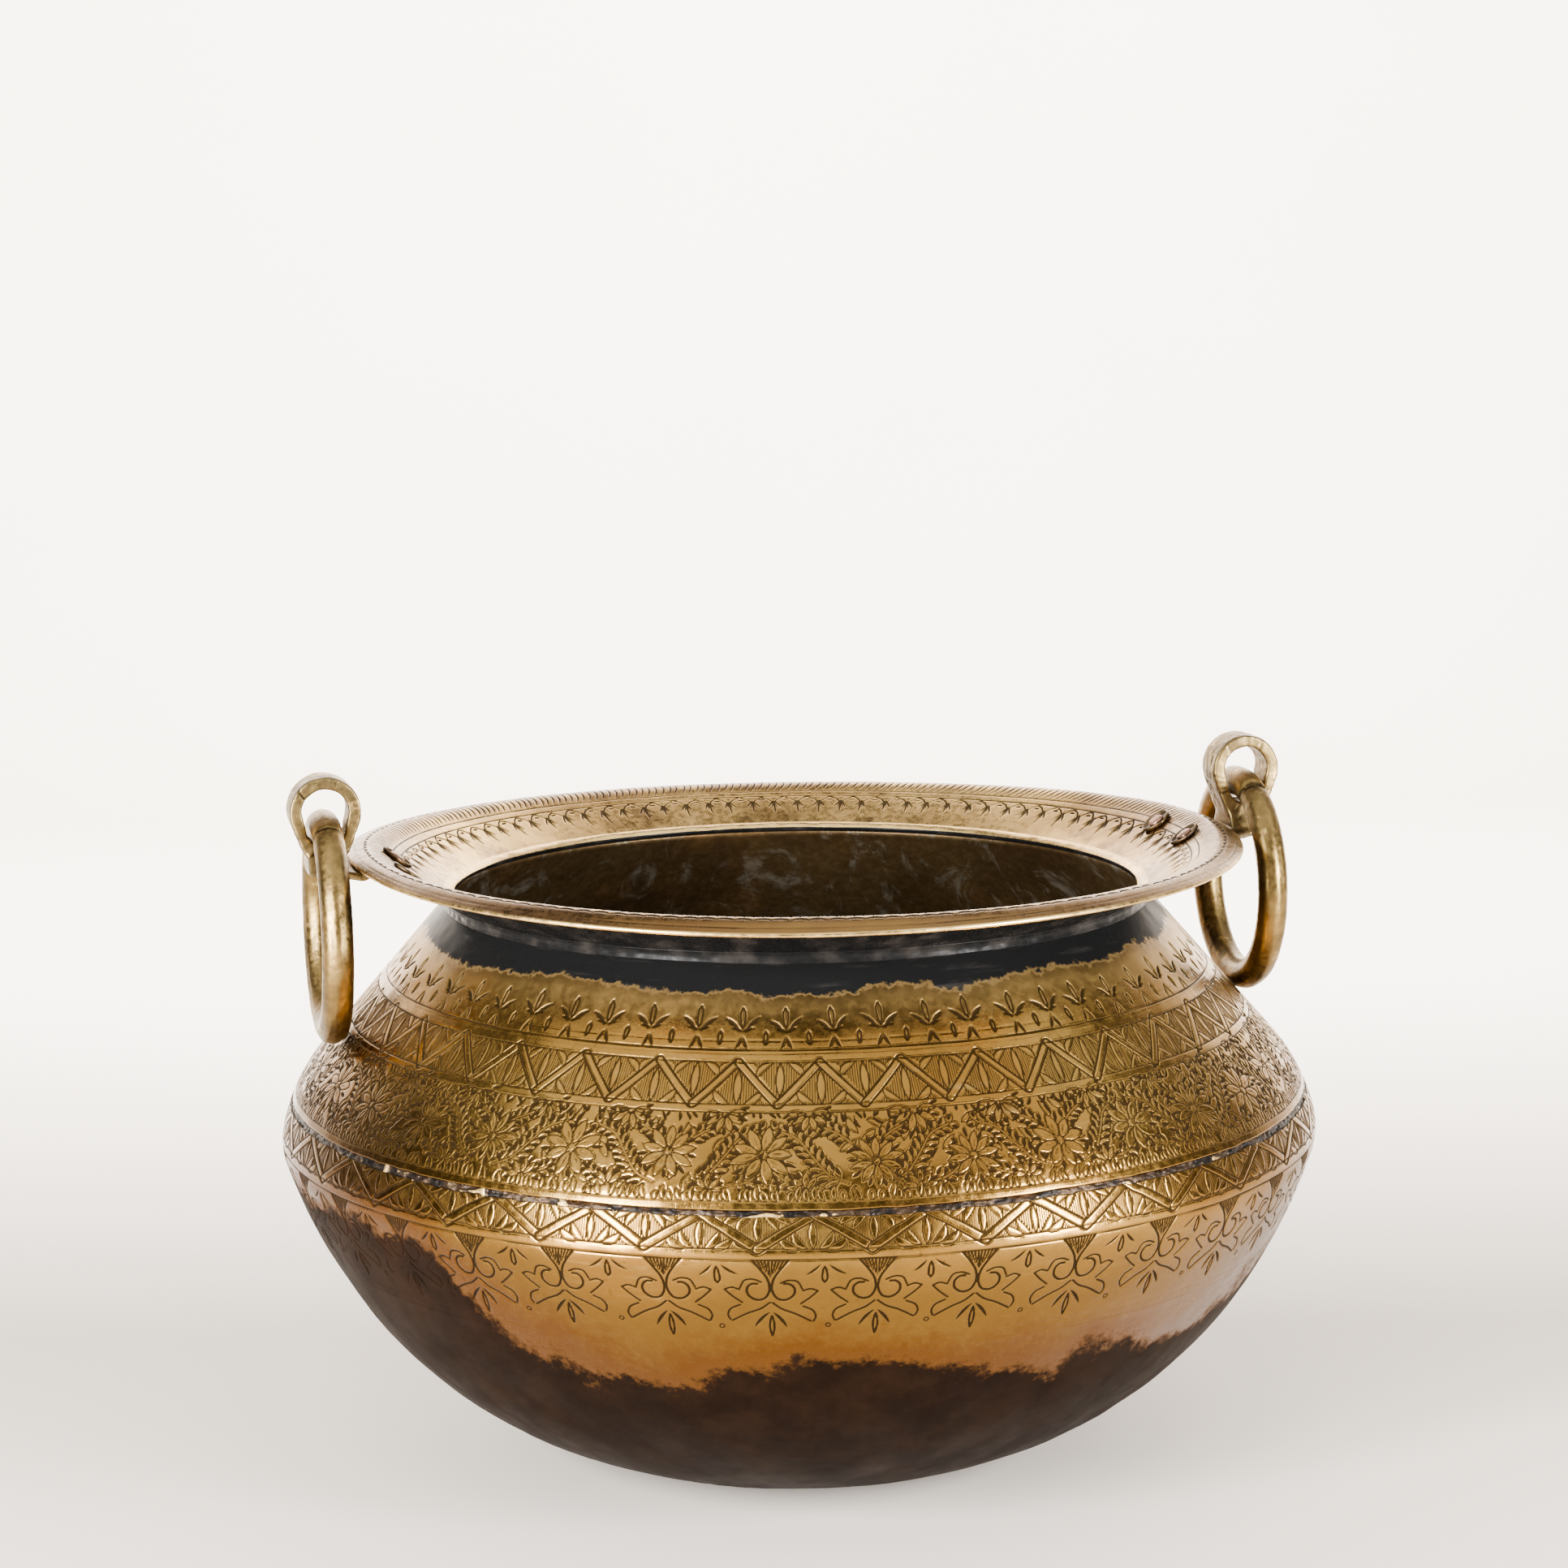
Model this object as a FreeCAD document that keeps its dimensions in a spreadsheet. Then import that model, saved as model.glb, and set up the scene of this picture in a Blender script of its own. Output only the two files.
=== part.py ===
"""Brass urli bowl: a deep beaten vessel with a funnel rim and two swinging ring handles.

The vessel is three sheet pieces, a lower bowl, a shoulder and a rim flange, brazed together at
the belly and at the neck. Under the rim sit two cast lugs, each held by two copper rivets with
a brass rove (a rivet washer) on top, and a forged ring hangs through the eye of each lug.

Frame: millimetres, +Z up, origin at the centre of the base on the surface it stands on.
The handles lie on the X axis, and the Z axis is the vessel's axis of revolution.
"""
import FreeCAD, Part
import math
import os

import Sketcher

DIMENSIONS = {
    # The vessel's outline, as a chain of tangent arcs from the base up to a straight shoulder.
    # An angle is the outline's own slope at that place, counted from the horizontal.
    "base_radius": 76.0,
    "base_slope": 6.5,
    "bottom_arc": 198.0,
    "bottom_slope": 55.0,
    "flank_arc": 257.0,
    "flank_slope": 72.0,
    "belly_arc": 24.0,
    "belly_slope": 104.0,
    "shoulder_arc": 81.0,
    "groove_slope": 112.7,
    "seam_slope": 114.5,
    "lap_slope": 121.0,
    "shoulder_slope": 131.0,
    "neck_height": 272.3,
    "sheet": 1.8,
    # The rim flange, a funnel that starts on the shoulder's top edge and bends over to a brow.
    "flange_radius": 216.0,
    "flange_slope": 31.0,
    "flange_sheet": 2.2,
    "brow_arc": 15.8,
    "edge_droop": 30.0,
    "throat_radius": 165.5,
    "lip_width": 4.5,
    "lip_rise": 1.8,
    "lip_arc": 2.7,
    "edge_round": 0.8,
    # The braze fillet in the corner between shoulder and flange.
    "braze_leg": 4.5,
    # The handle lugs.
    "plate_sheet": 4.5,
    "plate_inner": 184.0,
    "plate_outer": 236.0,
    "plate_waist": 213.0,
    "plate_half": 28.0,
    "plate_tip_half": 14.0,
    "plate_corner": 7.0,
    "eye_reach": 227.0,
    "eye_height": 321.0,
    "eye_outer": 17.0,
    "eye_taper": 20.0,
    "eye_width": 20.0,
    "eye_foot": 289.0,
    "eye_hole": 10.75,
    "bearing_height": 313.7,
    "bearing_hole": 9.2,
    "hole_round": 1.2,
    "neck_half": 16.5,
    "neck_top_half": 10.0,
    "neck_top": 303.0,
    "neck_reach": 9.0,
    # The ring handles. The stock's centre line is a circle.
    "ring_radius": 48.2,
    "ring_stock": 7.5,
    "ring_hang": 313.55,
    # The rivets and their roves.
    "rivet_radius": 192.5,
    "rivet_azimuth": 6.5,
    "shank_radius": 2.5,
    "head_radius": 4.75,
    "head_height": 1.8,
    "burr_radius": 3.8,
    "burr_height": 1.7,
    "burr_round": 1.1,
    "rove_length": 17.5,
    "rove_breadth": 13.0,
    "rove_clip": 4.2,
    "rove_floor": 1.0,
    "rove_brim": 1.3,
    "rove_height": 2.4,
    "rove_lift": 0.2,
}
HALF_TURN = 180.0
FULL_TURN = 360.0
ABOVE_ALL = 400.0
TOUCHING = 0.01
SIDES = {"right": 0.0, "left": HALF_TURN}
RIVET_ROWS = {"front": -1.0, "rear": 1.0}
SHEET_NAME = "Params"


def add_sheet(doc):
    """Writes the driving dimensions into a spreadsheet, one aliased row each."""
    sheet = doc.addObject("Spreadsheet::Sheet", SHEET_NAME)
    for row, (alias, value) in enumerate(DIMENSIONS.items(), start=1):
        sheet.set(f"A{row}", alias)
        sheet.set(f"B{row}", str(value))
        sheet.setAlias(f"B{row}", alias)
    doc.recompute()
    return sheet


def cell(text):
    """Turns words of a formula that are aliases into references to the sheet."""
    words = []
    word = ""
    for letter in text + " ":
        if letter.isalnum() or letter == "_":
            word += letter
            continue
        words.append(f"{SHEET_NAME}.{word}" if word in DIMENSIONS else word)
        words.append(letter)
        word = ""
    return "".join(words).strip()


def plus(*terms):
    return " + ".join(terms)


def inset(point, slope, depth):
    """Moves a point of the outline inwards, square to the outline, which has that slope there."""
    across, up = point
    return f"{across} - {depth} * sin({slope})", f"{up} + {depth} * cos({slope})"


def after_arc(point, radius, start, end):
    """Gives the far end of an arc that starts at a point with one slope and ends with another."""
    across, up = point
    return (
        plus(across, f"{radius} * (sin({end}) - sin({start}))"),
        plus(up, f"{radius} * (cos({start}) - cos({end}))"),
    )


BASE_EDGE = ("base_radius", "0")
BOTTOM_END = after_arc(BASE_EDGE, "bottom_arc", "base_slope", "bottom_slope")
FLANK_END = after_arc(BOTTOM_END, "flank_arc", "bottom_slope", "flank_slope")
BELLY_END = after_arc(FLANK_END, "belly_arc", "flank_slope", "belly_slope")
GROOVE = after_arc(BELLY_END, "shoulder_arc", "belly_slope", "groove_slope")
SEAM = after_arc(BELLY_END, "shoulder_arc", "belly_slope", "seam_slope")
LAP_END = after_arc(BELLY_END, "shoulder_arc", "belly_slope", "lap_slope")
SHOULDER_END = after_arc(BELLY_END, "shoulder_arc", "belly_slope", "shoulder_slope")
NECK = (
    f"{SHOULDER_END[0]} + (neck_height - ({SHOULDER_END[1]})) / tan(shoulder_slope)",
    "neck_height",
)
NECK_INSIDE = (f"{NECK[0]} - sheet / sin(shoulder_slope)", "neck_height")


def on_flange(radius, rise="0"):
    """Gives a point at a radius on the funnel's underside, or above it square to the slope."""
    climb = f"({radius} - ({NECK[0]})) * tan(flange_slope)"
    return radius, f"neck_height + {climb} + ({rise}) / cos(flange_slope)"


BROW_START = on_flange(
    "(flange_radius - flange_sheet * sin(edge_droop)"
    " - brow_arc * (sin(flange_slope) + sin(edge_droop)))"
)


def brow_start(rise):
    """Gives the end of the funnel's straight part, at a height above the flange's underside."""
    across, up = BROW_START
    return f"{across} - ({rise}) * sin(flange_slope)", f"{up} + ({rise}) * cos(flange_slope)"


def flange_edge(rise):
    """Gives the end of the brow, at a height above the flange's underside, square to it."""
    drop = "brow_arc * (cos(edge_droop) - cos(flange_slope))"
    return (
        f"flange_radius + (({rise}) - flange_sheet) * sin(edge_droop)",
        f"{BROW_START[1]} + {drop} + ({rise}) * cos(edge_droop)",
    )


class Outline:
    """A closed sketch outline whose corners and arc radii are bound to the sheet."""

    def __init__(self, body, name, plane, start):
        self.sketch = body.newObject("Sketcher::SketchObject", name)
        self.sketch.AttachmentSupport = (origin_plane(body, plane), [""])
        self.sketch.MapMode = "FlatFace"
        self.start = start
        self.here = start
        self.last_end = None
        self.first = None

    def value(self, formula):
        return float(self.sketch.evalExpression(cell(formula)))

    def spot(self, point):
        return FreeCAD.Vector(self.value(point[0]), self.value(point[1]), 0)

    def bind(self, kind, where, formula):
        value = self.value(formula)
        index = self.sketch.addConstraint(Sketcher.Constraint(kind, *where, value))
        self.sketch.setExpression(f"Constraints[{index}]", cell(formula))

    def pin(self, edge, end, point):
        """Holds one end of an edge at a point, measured from the sketch's origin."""
        for kind, formula, axis in (("DistanceX", point[0], -2), ("DistanceY", point[1], -1)):
            if formula == "0":
                self.sketch.addConstraint(Sketcher.Constraint("PointOnObject", edge, end, axis))
            else:
                self.bind(kind, (-1, 1, edge, end), formula)

    def join(self, edge, start_end, far_end, point):
        if self.last_end is None:
            self.first = (edge, start_end)
        else:
            self.sketch.addConstraint(Sketcher.Constraint("Coincident", *self.last_end, edge, start_end))
        if point is self.start:
            self.sketch.addConstraint(Sketcher.Constraint("Coincident", edge, far_end, *self.first))
        self.pin(edge, far_end, point)
        self.last_end = (edge, far_end)
        self.here = point

    def line(self, point):
        edge = self.sketch.addGeometry(Part.LineSegment(self.spot(self.here), self.spot(point)))
        self.join(edge, 1, 2, point)
        return self

    def arc(self, point, radius, clockwise=False):
        """Adds an arc to a point, the short way round, turning left unless it is clockwise."""
        begin = self.spot(self.here)
        end = self.spot(point)
        size = self.value(radius)
        chord = end - begin
        side = FreeCAD.Vector(-chord.y, chord.x, 0).normalize()
        if clockwise:
            side = -side
        centre = (begin + end) / 2 + side * math.sqrt(size ** 2 - (chord.Length / 2) ** 2)
        first, last = (end, begin) if clockwise else (begin, end)
        angles = [math.atan2(spot.y - centre.y, spot.x - centre.x) for spot in (first, last)]
        circle = Part.Circle(centre, FreeCAD.Vector(0, 0, 1), size)
        edge = self.sketch.addGeometry(Part.ArcOfCircle(circle, *angles))
        ends = (2, 1) if clockwise else (1, 2)
        self.join(edge, *ends, point)
        self.bind("Radius", (edge,), radius)
        return self

    def close(self):
        return self.line(self.start).sketch


def origin_plane(body, role):
    return next(feature for feature in body.Origin.OriginFeatures if feature.Role == role)


def add_body(doc, label):
    body = doc.addObject("PartDesign::Body", label)
    body.Label = label
    return body


def bind(thing, **formulas):
    """Binds properties of a feature to formulas of the sheet. A double underscore is a dot."""
    for name, formula in formulas.items():
        thing.setExpression(name.replace("__", "."), cell(formula))


def revolve(body, sketch, name, kind="PartDesign::Revolution"):
    feature = body.newObject(kind, name)
    feature.Profile = sketch
    feature.ReferenceAxis = (sketch, ["V_Axis"])
    feature.Angle = FULL_TURN
    sketch.Visibility = False
    return feature


def pad(body, sketch, name, length, both_ways=False, kind="PartDesign::Pad"):
    feature = body.newObject(kind, name)
    feature.Profile = sketch
    feature.Midplane = both_ways
    bind(feature, Length=length)
    sketch.Visibility = False
    return feature


def round_edges(body, base, name, radius, chosen):
    """Rounds the edges of a feature that the test picks out."""
    body.Document.recompute()
    names = [f"Edge{i}" for i, edge in enumerate(base.Shape.Edges, start=1) if chosen(edge)]
    fillet = body.newObject("PartDesign::Fillet", name)
    fillet.Base = (base, names)
    bind(fillet, Radius=radius)
    return fillet


def add_lower_bowl(doc):
    """The beaten bottom half, whose top edge is stepped inwards to go inside the shoulder."""
    body = add_body(doc, "lower_bowl")
    groove_floor = inset(GROOVE, "groove_slope", "sheet")
    lap_outside = inset(LAP_END, "lap_slope", "sheet")
    lap_inside = inset(LAP_END, "lap_slope", "2 * sheet")
    step_inside = inset(GROOVE, "groove_slope", "2 * sheet")
    belly_inside = inset(BELLY_END, "belly_slope", "2 * sheet")
    flank_inside = inset(FLANK_END, "flank_slope", "2 * sheet")
    outline = Outline(body, "lower_bowl_outline", "XZ_Plane", ("0", "0"))
    outline.line(BASE_EDGE)
    outline.arc(BOTTOM_END, "bottom_arc")
    outline.arc(FLANK_END, "flank_arc")
    outline.arc(BELLY_END, "belly_arc")
    outline.arc(GROOVE, "shoulder_arc")
    outline.line(groove_floor)
    outline.arc(lap_outside, "shoulder_arc - sheet")
    outline.line(lap_inside)
    outline.arc(step_inside, "shoulder_arc - 2 * sheet", clockwise=True)
    outline.arc(belly_inside, "shoulder_arc - 2 * sheet", clockwise=True)
    outline.arc(flank_inside, "belly_arc - 2 * sheet", clockwise=True)
    outline.arc(inset(BOTTOM_END, "bottom_slope", "sheet"), "flank_arc", clockwise=True)
    outline.arc(inset(BASE_EDGE, "base_slope", "sheet"), "bottom_arc - sheet", clockwise=True)
    outline.line(("0", "sheet"))
    revolve(body, outline.close(), "lower_bowl_shell")
    return body


def add_upper_shoulder(doc):
    """The cone that closes the vessel in from the belly lip up to the neck."""
    body = add_body(doc, "upper_shoulder")
    outline = Outline(body, "shoulder_outline", "XZ_Plane", SEAM)
    outline.arc(SHOULDER_END, "shoulder_arc")
    outline.line(NECK)
    outline.line(NECK_INSIDE)
    outline.line(inset(SHOULDER_END, "shoulder_slope", "sheet"))
    outline.arc(inset(SEAM, "seam_slope", "sheet"), "shoulder_arc - sheet", clockwise=True)
    revolve(body, outline.close(), "shoulder_shell")
    return body


def add_belly_braze(doc):
    """The bead of braze in the groove under the shoulder's lip."""
    body = add_body(doc, "belly_seam_braze")
    outline = Outline(body, "belly_braze_outline", "XZ_Plane", GROOVE)
    outline.arc(SEAM, "shoulder_arc")
    outline.line(inset(SEAM, "seam_slope", "sheet"))
    outline.arc(inset(GROOVE, "groove_slope", "sheet"), "shoulder_arc - sheet", clockwise=True)
    revolve(body, outline.close(), "belly_braze_bead")
    return body


def add_neck_braze(doc):
    """The fillet of braze in the corner under the flange."""
    body = add_body(doc, "neck_seam_braze")
    under_flange = on_flange(f"{NECK[0]} + braze_leg * cos(flange_slope)")
    on_shoulder = (
        f"{NECK[0]} - braze_leg * cos(shoulder_slope)",
        "neck_height - braze_leg * sin(shoulder_slope)",
    )
    outline = Outline(body, "neck_braze_outline", "XZ_Plane", NECK)
    outline.line(on_shoulder)
    outline.line(under_flange)
    revolve(body, outline.close(), "neck_braze_fillet")
    return body


def add_flange(doc):
    """The funnel rim: a lip round the throat, a brow along the edge, and four rivet holes."""
    body = add_body(doc, "rim_flange")
    lip_foot = on_flange("throat_radius + lip_width", "flange_sheet")
    outline = Outline(body, "flange_outline", "XZ_Plane", ("throat_radius", "neck_height"))
    outline.line(NECK)
    outline.line(brow_start("0"))
    outline.arc(flange_edge("0"), "brow_arc", clockwise=True)
    outline.line(flange_edge("flange_sheet"))
    outline.arc(brow_start("flange_sheet"), "brow_arc + flange_sheet")
    outline.line(lip_foot)
    outline.arc(("throat_radius", "neck_height + lip_rise"), "lip_arc")
    shell = revolve(body, outline.close(), "flange_shell")
    inner_limit = DIMENSIONS["flange_radius"] - DIMENSIONS["flange_sheet"]

    def is_rim(edge):
        return edge.BoundBox.XLength / 2 > inner_limit

    round_edges(body, shell, "flange_edge", "edge_round", is_rim)
    for side in SIDES:
        for row in RIVET_ROWS:
            drill_rivet_hole(body, side, row)
    return body


def rivet_place(side, row):
    """Gives the azimuth of a rivet's axis, and the turn that sets it square to the flange."""
    handed = 1 if side == "right" else -1
    azimuth = SIDES[side] + RIVET_ROWS[row] * handed * DIMENSIONS["rivet_azimuth"]
    turn = FreeCAD.Rotation(FreeCAD.Vector(0, 0, 1), azimuth)
    lean = FreeCAD.Rotation(FreeCAD.Vector(0, 1, 0), -DIMENSIONS["flange_slope"])
    return azimuth, turn.multiply(lean)


def place_on_rivet(thing, side, row):
    """Puts an object on a rivet's axis, with the height of the seat bound to the sheet."""
    azimuth, rotation = rivet_place(side, row)
    thing.Placement = FreeCAD.Placement(FreeCAD.Vector(0, 0, 0), rotation)
    seat = on_flange("rivet_radius", "flange_sheet")
    bind(
        thing,
        Placement__Base__x=f"rivet_radius * cos({azimuth})",
        Placement__Base__y=f"rivet_radius * sin({azimuth})",
        Placement__Base__z=seat[1],
    )


def drill_rivet_hole(body, side, row):
    """Drills a rivet's hole right through the body, along the rivet's axis."""
    hole = body.newObject("PartDesign::SubtractiveCylinder", f"{side}_{row}_rivet_hole")
    bind(hole, Radius="shank_radius", Height="2 * (flange_sheet + plate_sheet + rove_height)")
    azimuth, rotation = rivet_place(side, row)
    hole.Placement = FreeCAD.Placement(FreeCAD.Vector(0, 0, 0), rotation)
    seat = on_flange("rivet_radius", "flange_sheet")
    depth = "(flange_sheet + plate_sheet + rove_height)"
    outward = f"(rivet_radius + {depth} * sin(flange_slope))"
    bind(
        hole,
        Placement__Base__x=f"{outward} * cos({azimuth})",
        Placement__Base__y=f"{outward} * sin({azimuth})",
        Placement__Base__z=f"{seat[1]} - {depth} * cos(flange_slope)",
    )
    return hole


def plate_cutter(body, name, rise, upwards):
    """Cuts a lug body away above or below a face that follows the flange, then runs on level."""
    near = on_flange("plate_inner - plate_corner", rise)
    under_edge = flange_edge(rise)
    far = ("plate_outer + plate_corner", under_edge[1])
    level = str(ABOVE_ALL) if upwards else "0"
    outline = Outline(body, name + "_outline", "XZ_Plane", near)
    outline.line(brow_start(rise))
    outline.arc(under_edge, f"brow_arc + ({rise})", clockwise=True)
    outline.line(far)
    outline.line((far[0], level))
    outline.line((near[0], level))
    return revolve(body, outline.close(), name, "PartDesign::Groove")


def add_lug(doc, side):
    """A cast lug: a plate under the flange, a flared neck beyond its edge and an eye on top."""
    body = add_body(doc, f"{side}_handle_lug")
    plan = Outline(body, "plate_plan", "XY_Plane", ("plate_inner", "plate_corner - plate_half"))
    plan.arc(("plate_inner + plate_corner", "-plate_half"), "plate_corner")
    plan.line(("plate_waist", "-plate_half"))
    plan.line(("plate_outer - plate_corner", "-plate_tip_half"))
    plan.arc(("plate_outer", "plate_corner - plate_tip_half"), "plate_corner")
    plan.line(("plate_outer", "plate_tip_half - plate_corner"))
    plan.arc(("plate_outer - plate_corner", "plate_tip_half"), "plate_corner")
    plan.line(("plate_waist", "plate_half"))
    plan.line(("plate_inner + plate_corner", "plate_half"))
    plan.arc(("plate_inner", "plate_half - plate_corner"), "plate_corner")
    pad(body, plan.close(), "plate_blank", "bearing_height")
    plate_cutter(body, "plate_top", "0", upwards=True)
    plate_cutter(body, "plate_underside", "-plate_sheet", upwards=False)

    side_drop = "(eye_height - eye_outer * sin(eye_taper) - eye_foot) * tan(eye_taper)"
    foot_half = f"(eye_outer * cos(eye_taper) - {side_drop})"
    hip_height = "eye_height - eye_outer * sin(eye_taper)"
    eye = Outline(body, "eye_outline", "XZ_Plane", (f"eye_reach - {foot_half}", "eye_foot"))
    eye.line((f"eye_reach + {foot_half}", "eye_foot"))
    eye.line(("eye_reach + eye_outer * cos(eye_taper)", hip_height))
    eye.arc(("eye_reach", "eye_height + eye_outer"), "eye_outer")
    eye.arc(("eye_reach - eye_outer * cos(eye_taper)", hip_height), "eye_outer")
    pad(body, eye.close(), "eye_blank", "eye_width", both_ways=True)

    flare = Outline(body, "neck_outline", "YZ_Plane", ("-neck_half", "eye_foot"))
    flare.line(("neck_half", "eye_foot"))
    flare.arc(("neck_top_half", "neck_top"), "2 * (neck_top - eye_foot)", clockwise=True)
    flare.line(("-neck_top_half", "neck_top"))
    flare.arc(flare.start, "2 * (neck_top - eye_foot)", clockwise=True)
    pad(body, flare.sketch, "neck_blank", "2 * neck_reach", both_ways=True)
    bind(flare.sketch, AttachmentOffset__Base__z="eye_reach")

    hole = Outline(body, "hole_outline", "XZ_Plane", ("eye_reach - eye_hole", "eye_height"))
    hole.line(("eye_reach - bearing_hole", "bearing_height"))
    hole.arc(("eye_reach", "bearing_height - bearing_hole"), "bearing_hole")
    hole.arc(("eye_reach + bearing_hole", "bearing_height"), "bearing_hole")
    hole.line(("eye_reach + eye_hole", "eye_height"))
    hole.arc(("eye_reach", "eye_height + eye_hole"), "eye_hole")
    hole.arc(hole.start, "eye_hole")
    bore = pad(body, hole.sketch, "eye_bore", "4 * eye_width", True, "PartDesign::Pocket")
    eye_half = DIMENSIONS["eye_width"] / 2

    def is_on_eye_face(edge):
        off_face = abs(abs(edge.CenterOfMass.y) - eye_half)
        flat = max(off_face, edge.BoundBox.YLength) < TOUCHING
        return flat and edge.CenterOfMass.z > DIMENSIONS["neck_top"]

    round_edges(body, bore, "eye_edges", "hole_round", is_on_eye_face)
    for row in RIVET_ROWS:
        drill_rivet_hole(body, "right", row)
    body.Placement = FreeCAD.Placement(
        FreeCAD.Vector(0, 0, 0), FreeCAD.Rotation(FreeCAD.Vector(0, 0, 1), SIDES[side])
    )
    return body


def add_ring(doc, side):
    """A forged ring that hangs plumb through the eye, in a plane square to the handles' axis."""
    ring = doc.addObject("Part::Torus", f"{side}_handle_ring")
    ring.Label = f"{side}_handle_ring"
    bind(ring, Radius1="ring_radius", Radius2="ring_stock")
    outward = 1 if side == "right" else -1
    ring.Placement = FreeCAD.Placement(
        FreeCAD.Vector(0, 0, 0), FreeCAD.Rotation(FreeCAD.Vector(0, 1, 0), outward * HALF_TURN / 2)
    )
    bind(ring, Placement__Base__x=f"{outward} * eye_reach", Placement__Base__z="ring_hang - ring_radius")
    return ring


def add_rivet(doc, side, row):
    """A copper rivet: a disc head under the lug, and a domed burr on the rove."""
    body = add_body(doc, f"{side}_{row}_rivet")
    grip = "-(flange_sheet + plate_sheet)"
    head_end = f"{grip} - head_height"
    burr_seat = "rove_lift + rove_floor"
    outline = Outline(body, "rivet_outline", "XZ_Plane", ("0", head_end))
    outline.line(("head_radius", head_end))
    outline.line(("head_radius", grip))
    outline.line(("shank_radius", grip))
    outline.line(("shank_radius", burr_seat))
    outline.line(("burr_radius", burr_seat))
    outline.arc(("burr_radius - burr_round", f"{burr_seat} + burr_round"), "burr_round")
    outline.line(("0", f"{burr_seat} + burr_height"))
    revolve(body, outline.close(), "rivet_blank")
    place_on_rivet(body, side, row)
    return body


def rove_plan(body, name, trim):
    """The rove's clipped oblong, made smaller all round by the trim."""
    long = f"(rove_length / 2 - {trim})"
    broad = f"(rove_breadth / 2 - {trim})"
    plan = Outline(body, name, "XY_Plane", (long, f"{broad} - rove_clip"))
    plan.line((f"{long} - rove_clip", broad))
    plan.line((f"rove_clip - {long}", broad))
    plan.line((f"-{long}", f"{broad} - rove_clip"))
    plan.line((f"-{long}", f"rove_clip - {broad}"))
    plan.line((f"rove_clip - {long}", f"-{broad}"))
    plan.line((f"{long} - rove_clip", f"-{broad}"))
    plan.line((long, f"rove_clip - {broad}"))
    return plan.close()


def add_rove(doc, side, row):
    """A brass rove: an oblong washer whose edge is turned up into a brim."""
    body = add_body(doc, f"{side}_{row}_rove")
    blank = rove_plan(body, "rove_outline", "0")
    bind(blank, AttachmentOffset__Base__z="rove_lift")
    pad(body, blank, "rove_blank", "rove_height")
    tray = rove_plan(body, "rove_tray_outline", "rove_brim")
    bind(tray, AttachmentOffset__Base__z="rove_lift + rove_height")
    pad(body, tray, "rove_tray", "rove_height - rove_floor", kind="PartDesign::Pocket")
    bore = body.newObject("PartDesign::SubtractiveCylinder", "rove_bore")
    bind(bore, Radius="shank_radius", Height="2 * rove_height")
    place_on_rivet(body, side, row)
    return body


def check(doc, parts):
    """Stops if any object failed or any part's shape is empty, invalid or not one solid."""
    for thing in doc.Objects:
        if {"Invalid", "Error"} & set(thing.State):
            raise RuntimeError(f"{thing.Label}: {thing.State}")
    for part in parts:
        shape = part.Shape
        if shape.isNull() or not shape.isValid() or len(shape.Solids) != 1:
            raise RuntimeError(f"{part.Label}: bad shape, {len(shape.Solids)} solids")


def export(parts):
    os.makedirs("parts", exist_ok=True)
    for part in parts:
        part.Shape.exportStep(f"parts/{part.Label}.step")


def main():
    doc = FreeCAD.newDocument("UrliBowl")
    add_sheet(doc)
    parts = [
        add_lower_bowl(doc),
        add_upper_shoulder(doc),
        add_flange(doc),
        add_belly_braze(doc),
        add_neck_braze(doc),
    ]
    for side in SIDES:
        parts.append(add_lug(doc, side))
        parts.append(add_ring(doc, side))
        for row in RIVET_ROWS:
            parts.append(add_rivet(doc, side, row))
            parts.append(add_rove(doc, side, row))
    doc.recompute()
    check(doc, parts)
    export(parts)
    for part in parts:
        box = part.Shape.BoundBox
        print(f"{part.Label}: {part.Shape.Volume:.0f} mm3, z {box.ZMin:.2f} to {box.ZMax:.2f}")


main()
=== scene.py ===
"""Looks of the brass urli bowl: engraved beaten brass, a funnel rim and two forged ring handles.

The script works in millimetres and turns them into metres where it makes a mesh. Heights and
radii repeat the driving dimensions of the CAD part, and everything else follows from them.
"""

import math

import bpy
import numpy as np
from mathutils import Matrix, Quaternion, Vector


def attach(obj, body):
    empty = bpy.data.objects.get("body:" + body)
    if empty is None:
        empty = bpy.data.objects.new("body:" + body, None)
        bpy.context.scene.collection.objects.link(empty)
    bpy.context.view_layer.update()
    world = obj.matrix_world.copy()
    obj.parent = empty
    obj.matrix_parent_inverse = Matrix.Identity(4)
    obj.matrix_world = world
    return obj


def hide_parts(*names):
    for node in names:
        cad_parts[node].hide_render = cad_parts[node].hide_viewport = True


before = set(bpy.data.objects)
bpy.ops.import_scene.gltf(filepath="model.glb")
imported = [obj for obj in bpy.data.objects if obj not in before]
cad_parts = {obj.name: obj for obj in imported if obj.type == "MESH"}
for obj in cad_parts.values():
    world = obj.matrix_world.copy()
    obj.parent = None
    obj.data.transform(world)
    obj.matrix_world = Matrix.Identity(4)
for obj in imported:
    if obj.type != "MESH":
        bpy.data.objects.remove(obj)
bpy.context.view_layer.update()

MM = 0.001
FULL_TURN = 2 * math.pi

# The vessel's outer outline: the flat base, then arcs of (radius, slope where it ends).
BASE_RADIUS = 76.0
BASE_SLOPE = 6.5
ARCS = ((198.0, 55.0), (257.0, 72.0), (24.0, 104.0), (81.0, 131.0))
GROOVE_HEIGHT = 176.04
SEAM_HEIGHT = 178.37
NECK_HEIGHT = 272.3
SHEET = 1.8
LAP = 10.0
SEAM_BLEND = 7.0  # how far from the seam its wander reaches

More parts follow.
